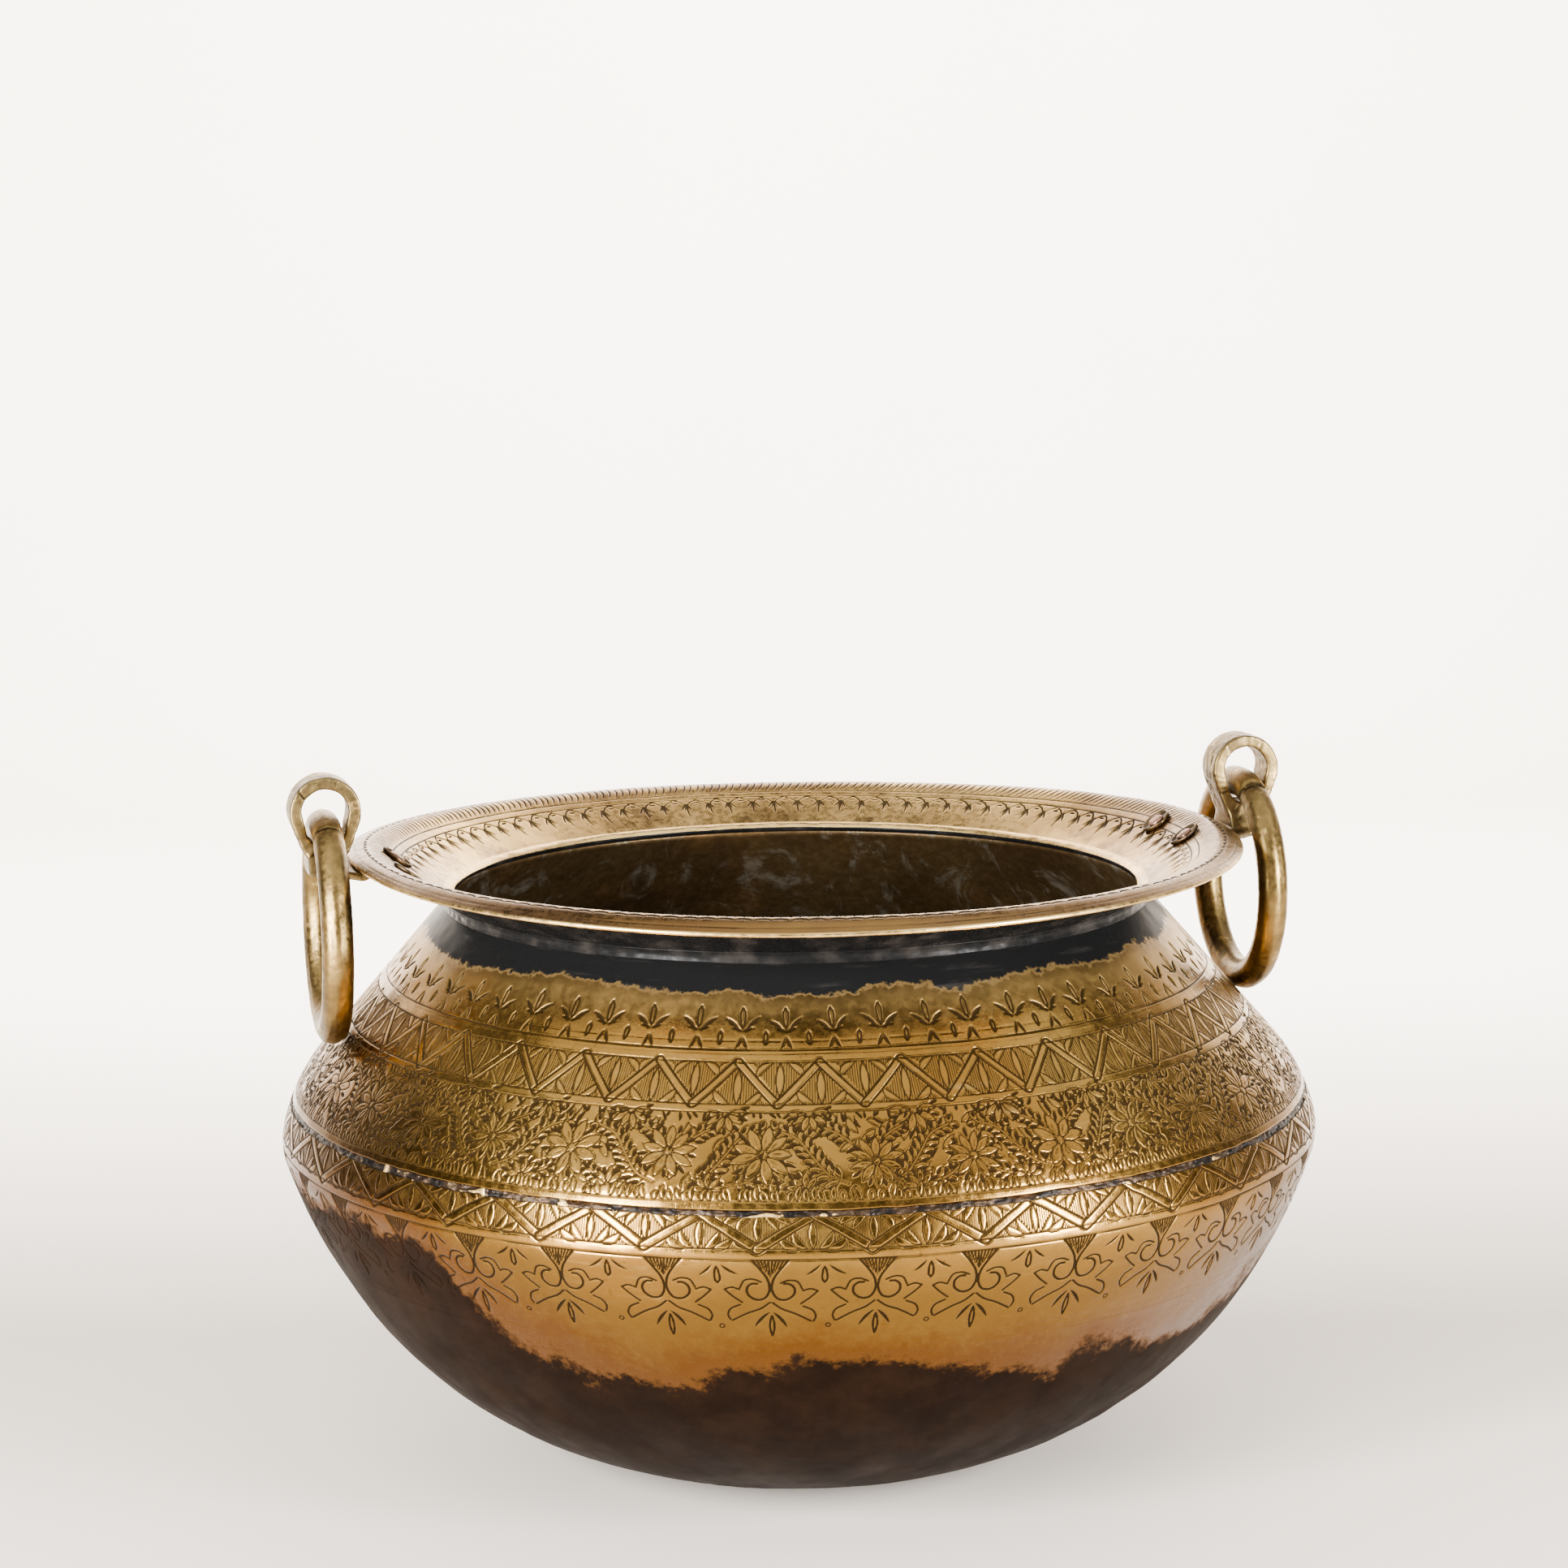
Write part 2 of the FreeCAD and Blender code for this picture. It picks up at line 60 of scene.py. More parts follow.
# The rim flange: a funnel that bends over to a brow and droops at its edge.
FLANGE_RADIUS = 216.0
FLANGE_SLOPE = math.radians(31.0)
FLANGE_SHEET = 2.2
BROW_ARC = 15.8
EDGE_DROOP = math.radians(30.0)
THROAT_RADIUS = 165.5
LIP_WIDTH = 4.5
LIP_RISE = 1.8

# The handles. The depths of the ring's crack and pit are shares of its stock.
EYE_REACH = 227.0
RING_HANG = 313.55
RING_RADIUS = 48.2
RING_STOCK = 7.5
RING_COLUMNS = 420
RING_STEPS = 56
JOINT_ANGLE = 0.5 * math.pi + 0.42
CRACK_DEPTH = 0.06
PIT_DEPTH = 0.2
RIVET_RADIUS = 192.5
RIVET_AZIMUTH = 6.5
LUG_PLATE = 4.5

# Grid sizes: columns round the vessel, and the spacing of rows where the chisel worked, on the
# plain sheet and inside. The first row round the middle of the base is at FIRST_ROW.
FINE = 3000
COARSE = 600
FINE_ROW = 0.5
PLAIN_ROW = 2.6
INSIDE_ROW = 5.0
FIRST_ROW = 5.0
NOISE_ROWS = 128
SEED = 20

# How deep the chisel goes, and how wide the wall of a cut is.
LINE_DEPTH = 0.32
CUT_DEPTH = 0.44
HATCH_DEPTH = 0.30
HATCH_PITCH = 1.15
BOLD_DEPTH = CUT_DEPTH * 0.8
CUT_WALL = 0.5
CUT_SOFT = 0.3


def smooth(low, high, value):
    """Goes softly from 0 at low to 1 at high."""
    share = np.clip((value - low) / (high - low), 0, 1)
    return share * share * (3 - 2 * share)


def wrapped_noise(angle, along, cell, around, seed):
    """Smooth noise in -1 to 1 over a surface of revolution, the same after a full turn."""
    table = np.random.default_rng(seed).uniform(-1, 1, (NOISE_ROWS, around))
    across = np.asarray(angle) / FULL_TURN * around
    upward = np.asarray(along) / cell
    left = np.floor(across).astype(int)
    below = np.floor(upward).astype(int)
    share = smooth(0, 1, across - left)
    rise = smooth(0, 1, upward - below)
    left = left % around
    right = (left + 1) % around
    above = (below + 1) % NOISE_ROWS
    below = below % NOISE_ROWS
    low = table[below, left] * (1 - share) + table[below, right] * share
    high = table[above, left] * (1 - share) + table[above, right] * share
    return low * (1 - rise) + high * rise


def ripple(angle, around, seed):
    """Smooth noise in -1 to 1 that changes only round the vessel."""
    return wrapped_noise(angle, 0.5, 1, around, SEED + seed)


def stray(rng, most):
    """A small random step either way, as a hand makes."""
    return rng.uniform(-most, most)


def places(rng, count, most):
    """The number and the angle of motifs set round the vessel, each a little out of place."""
    for i in range(count):
        yield i, (i + stray(rng, most)) * FULL_TURN / count


def add_object(name, data):
    made = bpy.data.objects.new(name, data)
    bpy.context.scene.collection.objects.link(made)
    return made


def sample_outline():
    """The vessel's outline as rows of radius, height and slope, with the arc length of each."""
    rows = [(0.0, 0.0, 0.0), (BASE_RADIUS, 0.0, 0.0)]
    start = math.radians(BASE_SLOPE)
    for size, end in ARCS:
        radius, height, _ = rows[-1]
        end = math.radians(end)
        for slope in np.linspace(start, end, 200):
            across = radius + size * (math.sin(slope) - math.sin(start))
            up = height + size * (math.cos(start) - math.cos(slope))
            rows.append((across, up, slope))
        start = end
    radius, height, _ = rows[-1]
    rows.append((radius + (NECK_HEIGHT - height) / math.tan(start), NECK_HEIGHT, start))
    rows = np.array(rows)
    steps = np.hypot(np.diff(rows[:, 0]), np.diff(rows[:, 1]))
    return np.concatenate([[0], np.cumsum(steps)]), rows


LENGTHS, OUTLINE = sample_outline()
S_NECK = LENGTHS[-1]
NECK_RADIUS = OUTLINE[-1, 0]


def outline_at(station):
    """Radius, height, and the outward normal's two parts at an arc length along the outline."""
    radius, height, slope = (np.interp(station, LENGTHS, OUTLINE[:, i]) for i in range(3))
    return radius, height, np.sin(slope), -np.cos(slope)


def station_at(height):
    return float(np.interp(height, OUTLINE[1:, 1], LENGTHS[1:]))


S_GROOVE = station_at(GROOVE_HEIGHT)
S_SEAM = station_at(SEAM_HEIGHT)


def turned(radius, height, angle):
    """Points in metres at radii and heights in millimetres, at angles round the vessel's axis."""
    radius, height, angle = np.broadcast_arrays(radius, height, angle)
    points = np.stack([radius * np.cos(angle), radius * np.sin(angle), height], axis=-1)
    return points * MM


def angles_of(columns):
    return np.arange(columns) * FULL_TURN / columns


TURN = angles_of(FINE)[None, :]
COARSE_TURN = angles_of(COARSE)[None, :]


def on_vessel(station, depth, columns=FINE):
    """Points below the vessel's outside by a depth, which may differ from point to point."""
    radius, height, out, up = outline_at(np.asarray(station))
    depth = np.asarray(depth)
    return turned(radius - depth * out, height - depth * up, angles_of(columns)[None, :])


class Shell:
    """A closed mesh made of grids that follow each other round a cross-section."""

    def __init__(self):
        self.points = []
        self.cuts = []
        self.faces = []
        self.count = 0
        self.first = None
        self.last = None

    def add(self, points, cut=None, slot=0):
        """Adds a grid of rows by columns of points, joined to the grid before it."""
        rows, columns = points.shape[:2]
        start = self.count
        self.points.append(points.reshape(-1, 3))
        self.cuts.append(np.zeros(rows * columns) if cut is None else cut.reshape(-1))
        if self.last:
            self.join(self.last, (start, columns), slot)
        if rows > 1:
            base = start + np.arange(rows - 1)[:, None] * columns
            near = base + np.arange(columns)
            far = base + (np.arange(columns) + 1) % columns
            quads = np.stack([near, far, far + columns, near + columns], axis=-1)
            self.faces.append((quads.reshape(-1, 4), slot))
        self.count += rows * columns
        self.last = (start + (rows - 1) * columns, columns)
        if self.first is None:
            self.first = (start, columns)

    def join(self, lower, upper, slot):
        """Faces between two closed rows, where one may have a multiple of the other's points."""
        few = min(lower[1], upper[1])
        runs = []
        for (start, count), order in ((lower, 1), (upper, -1)):
            step = count // few
            run = np.arange(few)[:, None] * step + np.arange(step + 1)
            runs.append((run % count + start)[:, ::order])
        self.faces.append((np.concatenate(runs, axis=1), slot))

    def close(self, slot=0):
        self.join(self.last, self.first, slot)

    def cap(self, point, at_start, slot=0):
        """Closes the first or the last row with a fan of triangles."""
        start, columns = self.first if at_start else self.last
        near = start + np.arange(columns)
        far = start + (np.arange(columns) + 1) % columns
        if at_start:
            near, far = far, near
        tip = np.full(columns, self.count)
        self.points.append(np.array([point]))
        self.cuts.append(np.zeros(1))
        self.count += 1
        self.faces.append((np.stack([near, far, tip], axis=-1), slot))

    def build(self, name, materials, lift=None):
        """Makes the object, after moving its points by a function if one is given."""
        points = np.concatenate(self.points)
        if lift:
            points = lift(points)
        loops = np.concatenate([faces.reshape(-1) for faces, _ in self.faces])
        sizes = np.concatenate([np.full(len(faces), faces.shape[1]) for faces, _ in self.faces])
        slots = np.concatenate([np.full(len(faces), slot) for faces, slot in self.faces])
        mesh = bpy.data.meshes.new(name)
        mesh.vertices.add(len(points))
        mesh.vertices.foreach_set("co", points.astype(np.float32).reshape(-1))
        mesh.loops.add(len(loops))
        mesh.loops.foreach_set("vertex_index", loops.astype(np.int32))
        mesh.polygons.add(len(sizes))
        starts = np.concatenate([[0], np.cumsum(sizes)[:-1]])
        mesh.polygons.foreach_set("loop_start", starts.astype(np.int32))
        mesh.polygons.foreach_set("material_index", slots.astype(np.int32))
        mesh.polygons.foreach_set("use_smooth", np.ones(len(sizes), bool))
        mesh.update(calc_edges=True)
        mask = mesh.attributes.new("cut", "FLOAT", "POINT")
        mask.data.foreach_set("value", np.concatenate(self.cuts).astype(np.float32))
        for material in materials:
            mesh.materials.append(material)
        return add_object(name, mesh)


    def hand_over(self, name, materials, node, lift=None, body="vessel"):
        """Makes the object and puts it in place of its CAD node."""
        finish_piece(self.build(name, materials, lift), body, node)


class Relief:
    """Chisel work on a surface of revolution, as a depth in millimetres at each grid point."""

    def __init__(self, stations, columns, radius_at):
        self.stations = stations
        self.columns = columns
        self.radius_at = radius_at
        self.pitch = FULL_TURN / columns
        self.cut = np.zeros((len(stations), columns))

    def window(self, angle, station, points, reach):
        """The grid's rows and columns near some points, and where they lie round that place."""
        scale = self.radius_at(station)
        low = points.min(axis=0) - reach
        high = points.max(axis=0) + reach
        rows = slice(*np.searchsorted(self.stations, (station + low[1], station + high[1])))
        first = math.floor((angle + low[0] / scale) / self.pitch)
        last = math.ceil((angle + high[0] / scale) / self.pitch)
        index = np.arange(first, last + 1)
        across = (index * self.pitch - angle) * scale
        upward = self.stations[rows] - station
        return (rows, index % self.columns), across[None, :], upward[:, None]

    def ring_line(self, station, width=0.35, depth=LINE_DEPTH, wobble=0.25, seed=0):
        """A scored line right round the vessel."""
        angle = angles_of(self.columns)
        path = station + wobble * ripple(angle, 40, seed)
        weight = 0.75 + 0.25 * ripple(angle, 150, seed + 1)
        gap = np.abs(self.stations[:, None] - path[None, :])
        line = depth * weight * np.clip((width + CUT_SOFT - gap) / CUT_WALL, 0, 1)
        self.cut = np.maximum(self.cut, line)


class Pen:
    """Draws with a chisel round one place of a relief. Points are millimetres across and up."""

    def __init__(self, relief, angle, station, turn=0.0, flip=1.0, size=1.0):
        self.relief = relief
        self.angle = angle
        self.station = station
        self.turn = turn
        self.flip = flip
        self.size = size

    def place(self, points):
        points = np.array(points, float) * self.size
        points[:, 0] *= self.flip
        cosine, sine = math.cos(self.turn), math.sin(self.turn)
        return points @ np.array([[cosine, sine], [-sine, cosine]])

    def gap(self, points, widths, reach):
        """How far each grid point nearby lies outside a line of changing half width."""
        points = self.place(points)
        widths = np.broadcast_to(np.asarray(widths, float) * self.size, (len(points),))
        spread = reach + widths.max()
        where, across, upward = self.relief.window(self.angle, self.station, points, spread)
        best = np.full(np.broadcast_shapes(across.shape, upward.shape), np.inf)
        for i in range(len(points) - 1):
            (x0, y0), (x1, y1) = points[i], points[i + 1]
            dx, dy = x1 - x0, y1 - y0
            along = ((across - x0) * dx + (upward - y0) * dy) / max(dx * dx + dy * dy, 1e-9)
            along = np.clip(along, 0, 1)
            away = np.hypot(across - x0 - along * dx, upward - y0 - along * dy)
            best = np.minimum(best, away - widths[i] - (widths[i + 1] - widths[i]) * along)
        return where, best

    def carve(self, where, depth):
        rows, columns = where
        patch = self.relief.cut[rows][:, columns]
        self.relief.cut[rows, columns] = np.maximum(patch, depth)

    def groove(self, points, widths=0.35, depth=LINE_DEPTH):
        where, gap = self.gap(points, widths, 1.0)
        self.carve(where, depth * np.clip((CUT_SOFT - gap) / CUT_WALL, 0, 1))

    def wipe(self, points, widths):
        """Brings the inside of a shape back up to the surface."""
        where, gap = self.gap(points, widths, 1.0)
        rows, columns = where
        patch = self.relief.cut[rows][:, columns]
        self.relief.cut[rows, columns] = patch * np.clip(gap / CUT_WALL + 0.5, 0, 1)

    def edge(self, points, widths, line=0.3, depth=LINE_DEPTH):
        """Draws round the outside of a shape given as a line of changing half width."""
        where, gap = self.gap(points, widths, 1.4)
        self.carve(where, depth * np.clip((line + CUT_SOFT - np.abs(gap)) / CUT_WALL, 0, 1))

    def petal(self, start, end, half, bend=0.0, line=0.28, depth=LINE_DEPTH, blunt=False):
        """A raised petal with a scored outline, pointed at its tip."""
        points, widths = blade(start, end, half, bend, blunt)
        self.wipe(points, widths)
        self.edge(points, widths, line, depth)

    def stab(self, start, end, half, bend=0.0, depth=CUT_DEPTH):
        """A chisel cut, widest in the middle."""
        self.groove(*blade(start, end, half, bend), depth)


def blade(start, end, half, bend=0.0, blunt=False):
    """A leaf shape as a line with half widths. A bend bows it to the left of its direction."""
    start, end = np.array(start, float), np.array(end, float)
    share = np.linspace(0, 1, 6)
    along = end - start
    aside = np.array([-along[1], along[0]])
    points = start + share[:, None] * along + (bend * 4 * share * (1 - share))[:, None] * aside
    if blunt:
        widths = half * np.sqrt(share) * np.sqrt(np.clip(1.02 - share ** 4, 0, 1))
    else:
        widths = half * np.sin(np.pi * np.clip(share, 0.02, 0.98)) ** 0.8
    return points, widths


def curve(*points, steps=6):
    """A smooth line through some points."""
    points = np.array(points, float)
    padded = np.concatenate([[2 * points[0] - points[1]], points, [2 * points[-1] - points[-2]]])
    line = [points[0]]
    for p0, p1, p2, p3 in zip(padded, padded[1:], padded[2:], padded[3:]):
        for t in np.linspace(0, 1, steps + 1)[1:]:
            line.append(0.5 * (
                2 * p1 + (p2 - p0) * t + (2 * p0 - 5 * p1 + 4 * p2 - p3) * t * t
                + (3 * p1 - p0 - 3 * p2 + p3) * t ** 3
            ))
    return np.array(line)


# The engraved bands, as stations above the groove of the belly or below the neck.
SPRIG_FOOT = 423.3
STRIP_LOW = 417.2
ZIGZAG_LOW = 396.6
FLORAL_TOP = 392.6
FLORAL_LOW = 351.6
BELT_TOP = 346.6
BELT_LOW = 331.2
SCROLL_TOP = 326.7
SCROLL_END = 282.8

SPRIGS = 59
ZIGZAGS = 36
BELT_ZIGZAGS = 32
SCROLLS = 34
FLOWERS = 34
FILLERS = 16
LEAF_PITCH = 3.9


def engrave_sprigs(relief, rng):
    """A row of sprigs with a teardrop between each two."""
    relief.ring_line(SPRIG_FOOT + 4.3, 0.12, 0.2, seed=3)
    for _, angle in places(rng, SPRIGS, 0.06):
        pen = Pen(relief, angle, SPRIG_FOOT, stray(rng, 0.06), size=rng.uniform(1.12, 1.22))
        lean = stray(rng, 0.5)
        pen.petal((0, 9.3), (lean, 18.0), 1.35, blunt=True, line=0.34, depth=CUT_DEPTH)
        for side in (-1, 1):
            reach = rng.uniform(6.0, 7.2)
            tip = (side * reach, rng.uniform(12.6, 14.4))
            pen.stab((side * 1.2, 8.0), tip, 0.7, side * 0.07)
            pen.stab((side * 0.3, 8.2), (side * reach * 0.62, 9.4), 0.4, side * 0.07)
            pen.stab((side * 0.25, 5.6), (side * rng.uniform(1.9, 2.6), 0.2), 0.42, 0)
        middle = Pen(relief, angle + math.pi / SPRIGS, SPRIG_FOOT, stray(rng, 0.1))
        tip = (stray(rng, 0.4), 8.8)
        middle.petal((0, 3.0), tip, 1.15, blunt=True, line=0.34, depth=CUT_DEPTH)


def hatch_triangle(pen, half, height, up):
    """Fine strokes that fill a triangle, fanning out from its apex side."""
    apex = height if up else 0.0
    base = height - apex
    count = int(half * 2 / HATCH_PITCH)
    for i in range(count):
        spot = -half + (i + 0.5) * 2 * half / count
        top = apex + (base - apex) * min(1.0, abs(spot) / half + 0.06)
        pen.groove([(spot, base), (spot * 0.94, top)], 0.22, HATCH_DEPTH)


def engrave_zigzag(relief, rng, low, high, count, bar, petals):
    """A zigzag of flat bars, with a tulip in each triangle on a hatched ground."""
    height = high - low
    pitch = FULL_TURN / count
    period = relief.radius_at((low + high) / 2) * pitch
    for i in range(2 * count):
        up = i % 2 == 0
        angle = (i / 2 + stray(rng, 0.025)) * pitch
        pen = Pen(relief, angle, low)
        sign = 1 if up else -1
        foot = 0 if up else height
        half = period / 2 - bar * 1.2
        hatch_triangle(pen, half, height, up)
        for side in (-1, 1):
            for order in range(petals, 0, -1):
                spread = order / petals
                out = side * half * 0.62 * spread
                tip = (out + side * half * 0.13, foot + sign * height * (0.66 - 0.32 * spread))
                root = (out * 0.42, foot + sign * 0.3)
                pen.petal(root, tip, 1.75, -sign * side * 0.14, 0.26)
        tip = (stray(rng, 0.3), foot + sign * height * 0.8)
        pen.petal((0, foot + sign * 0.3), tip, 1.9, 0, 0.3)
    for i in range(2 * count):
        sign = 1 if i % 2 == 0 else -1
        pen = Pen(relief, (i / 2 + 0.25) * pitch, low)
        run = np.array([(-sign * period / 4, height), (sign * period / 4, 0)])
        run = run + rng.uniform(-0.35, 0.35, (2, 1)) * np.array([[1, 0]])
        pen.wipe(run, bar / 2)
        pen.edge(run, bar / 2, 0.3, CUT_DEPTH)
    for station in (low, high):
        relief.ring_line(station, 0.32, BOLD_DEPTH, seed=int(station))


def frond(pen, points, rng, leaf=8.2, gap=4.0):
    """A stem with alternate leaves, and a deep cut between each two of them."""
    line = curve(*points, steps=5)
    steps = np.hypot(*np.diff(line, axis=0).T)
    length = np.concatenate([[0], np.cumsum(steps)])
    for spot in np.arange(gap, length[-1], gap):
        at, ahead = (
            np.array([np.interp(spot + step, length, line[:, k]) for k in range(2)])
            for step in (0, 1)
        )
        ahead = ahead - at
        heading = math.atan2(ahead[1], ahead[0]) if ahead.any() else 0.0
        fade = 0.6 + 0.4 * (1 - spot / length[-1])
        for side in (-1, 1):
            aim = heading + side * rng.uniform(0.62, 0.85)
            reach = leaf * fade * rng.uniform(0.85, 1.1)
            way = np.array([math.cos(aim), math.sin(aim)])
            pen.petal(at + way * 0.6, at + way * reach, 1.7, side * 0.08, 0.26)
            back = at - ahead * gap * 0.42
            pen.stab(back + way * reach * 0.5, back + way * reach, 0.8, side * 0.1)
    pen.wipe(line, 0.55)
    pen.edge(line, 0.55, 0.2)


def flower(pen, radius, petals, rng, start=0.0, share=1.0):
    """A daisy of outlined petals round a small centre, with cuts between the petals' tips."""
    for i in range(petals):
        aim = start + i * share * FULL_TURN / petals + stray(rng, 0.06)
        reach = radius * rng.uniform(0.9, 1.08)
        way = np.array([math.cos(aim), math.sin(aim)])
        half = min(3.1, math.pi * share * radius / petals * 0.52)
        pen.petal(way * radius * 0.16, way * reach, half, stray(rng, 0.05), 0.27)
        pen.stab(way * radius * 0.3, way * radius * 0.62, 0.16, 0, LINE_DEPTH)
    for i in range(petals):
        aim = start + (i + 0.5) * share * FULL_TURN / petals
        way = np.array([math.cos(aim), math.sin(aim)])
        pen.stab(way * radius * 0.72, way * radius * rng.uniform(1.0, 1.15), 0.75, 0)


def engrave_floral(relief, rng):
    """The wide band of daisies and fronds, cut deep and close."""
    pitch = FULL_TURN / FLOWERS
    middle = (FLORAL_LOW + FLORAL_TOP) / 2
    period = relief.radius_at(middle) * pitch
    for _, angle in places(rng, FLOWERS * FILLERS, 0.3):
        pen = Pen(relief, angle, turn=stray(rng, 1.1), station=middle + rng.uniform(-15, 16))
        pen.petal((0, -4.2), (0, 4.4), 1.7, stray(rng, 0.15), 0.26)
        pen.stab((2.4, -2.8), (2.8, 3.0), 0.7, 0.1)
    for i, angle in places(rng, FLOWERS, 0.08):
        flip = 1 if i % 2 else -1
        pen = Pen(relief, angle + pitch / 2, middle, flip=flip)
        frond(pen, [(-15, -13), (-7, -9), (0, 0), (6, 8), (15, 12)], rng)
        frond(pen, [(2, -14), (10, -12), (17, -7)], rng, 6.4, 3.7)
        frond(pen, [(-18, 5), (-12, 10), (-4, 14)], rng, 6.4, 3.7)
    for _, angle in places(rng, FLOWERS, 0.07):
        flower(
            Pen(relief, angle, middle + rng.uniform(-4.5, 1.5), rng.uniform(0, 1)),
            rng.uniform(11.6, 13.8), int(rng.integers(8, 11)), rng,
        )
        half_way = Pen(relief, angle + pitch * rng.uniform(0.42, 0.58), FLORAL_TOP - 0.5)
        flower(half_way, rng.uniform(9, 11.5), 6, rng, math.pi, 0.6)
        low = Pen(relief, angle + pitch * rng.uniform(0.4, 0.6), FLORAL_LOW + 4.5)
        flower(low, rng.uniform(7.5, 9.5), 5, rng, 0.15, 0.56)
    leaves = int(period * FLOWERS / LEAF_PITCH)
    for i in range(leaves):
        pen = Pen(relief, i * FULL_TURN / leaves, FLORAL_LOW)
        lean = stray(rng, 3.4)
        pen.petal((lean * 0.2, 0.2), (lean, rng.uniform(3.6, 7.0)), 1.3, 0.1, 0.26)
        top = Pen(relief, (i + stray(rng, 0.3)) * FULL_TURN / leaves, FLORAL_TOP)
        top.stab((0, -0.3), (-lean, -rng.uniform(2.0, 5.0)), 0.6, 0.1)
    relief.ring_line(FLORAL_TOP, 0.34, BOLD_DEPTH, seed=21)
    relief.ring_line(FLORAL_LOW, 0.3, CUT_DEPTH * 0.6, seed=23)


def engrave_scrolls(relief, rng):
    """Fans hanging from the strip, running on into pairs of scrolls, with leaves and sprigs."""
    pitch = FULL_TURN / SCROLLS
    for _, angle in places(rng, SCROLLS, 0.03):
        size = rng.uniform(0.88, 0.93)
        pen = Pen(relief, angle, SCROLL_TOP, stray(rng, 0.02), 1, size)
        for tick in np.linspace(-1, 1, 10):
            length = 9.2 - 6.4 * abs(tick) ** 1.2
            start = (tick * 8.0, -0.4)
            end = (tick * (8.0 - length * 0.72), -0.4 - length)
            pen.groove([start, end], [0.5, 0.16], BOLD_DEPTH)
        for side in (-1, 1):
            pen.flip = side
            draw_scroll(pen, rng)
        pen.flip = 1
        pen.petal((0.2, -32.0), (0.2, -44.0), 1.15, 0, 0.34, CUT_DEPTH)
        between = Pen(relief, angle + pitch / 2, SCROLL_TOP, stray(rng, 0.05), 1, size)
        between.petal((0, -3.6), (0, -12.0), 1.7, 0, 0.36, CUT_DEPTH, blunt=True)
        for side in (-1, 1):
            between.stab((side * 2.2, -2.6), (side * rng.uniform(8, 10.5), -7.8), 0.5, -side * 0.05)
        spot = rng.uniform(-1, 3)
        dot = [(spot, -37.6), (spot + 0.1, -37.6)]
        between.groove(dot, 1.5, CUT_DEPTH * 0.6)
        between.wipe(dot, 0.7)
    relief.ring_line(SCROLL_END, 0.1, 0.16, 0.5, seed=31)
    relief.ring_line(SCROLL_END - 4.2, 0.1, 0.14, 0.5, seed=33)


def draw_scroll(pen, rng):
    """One side of a scroll motif: its volute, and the scalloped leaf that grows out of it."""
    pen.groove(curve(
        (8.6, -0.4), (4.6, -5.2), (1.4, -10.6), (0.6, -16.5), (3.0, -21.4), (7.4, -22.2),
        (11.0, -19.4), (11.4, -15.6), (9.2, -13.2), (6.4, -13.0),
    ), 0.5, CUT_DEPTH * 0.9)
    wander = rng.uniform(-0.5, 0.5, 2)
    pen.groove(curve((4.6, -12.2), (8.6, -10.6), (12.8, -11.4), (15.0, -15.6)) + wander, 0.44)
    pen.groove(curve((15.2, -16.6), (19.0, -15.4), (22.4, -16.6)) + wander, 0.44)
    pen.groove(curve((22.4, -16.8), (18.6, -20.6), (14.2, -24.2)) + wander, 0.44)
    pen.groove(curve((15.4, -25.6), (20.0, -28.0), (21.6, -31.6), (20.6, -34.6)) + wander, 0.46)
    pen.groove(curve((0.7, -24.0), (5.2, -27.6), (12.0, -30.6), (19.4, -35.0)), 0.48)
    pen.stab((1.0, -29.8), (rng.uniform(7.0, 8.4), -38.4), 0.7, 0.05)


def vessel_radius(station):
    return float(np.interp(station, LENGTHS, OUTLINE[:, 0]))


def beaten(angle, station, strength=0.22):
    """The planishing marks of the hammer: how far the sheet lies under its true surface."""
    wide = wrapped_noise(angle, station, 26.0, 58, SEED + 40)
    small = wrapped_noise(angle, station, 9.0, 170, SEED + 41)
    return strength * (wide + 0.35 * small)


def seam_wander(angle):
    """How far the belly seam strays up and down round the vessel."""
    slow = ripple(angle, 30, 50)
    quick = ripple(angle, 210, 51)
    return 0.85 * slow + 0.35 * quick


def seam_sag(angle):
    """How far the lower edge of the belly seam hangs below its true line."""
    slow = ripple(angle, 44, 52)
    quick = ripple(angle, 330, 53)
    return np.clip(0.5 + 0.6 * slow + 0.5 * quick, -0.3, 1.6)


def rows_between(low, high, spacing):
    return np.linspace(low, high, max(2, int(round(abs(high - low) / spacing)) + 1))


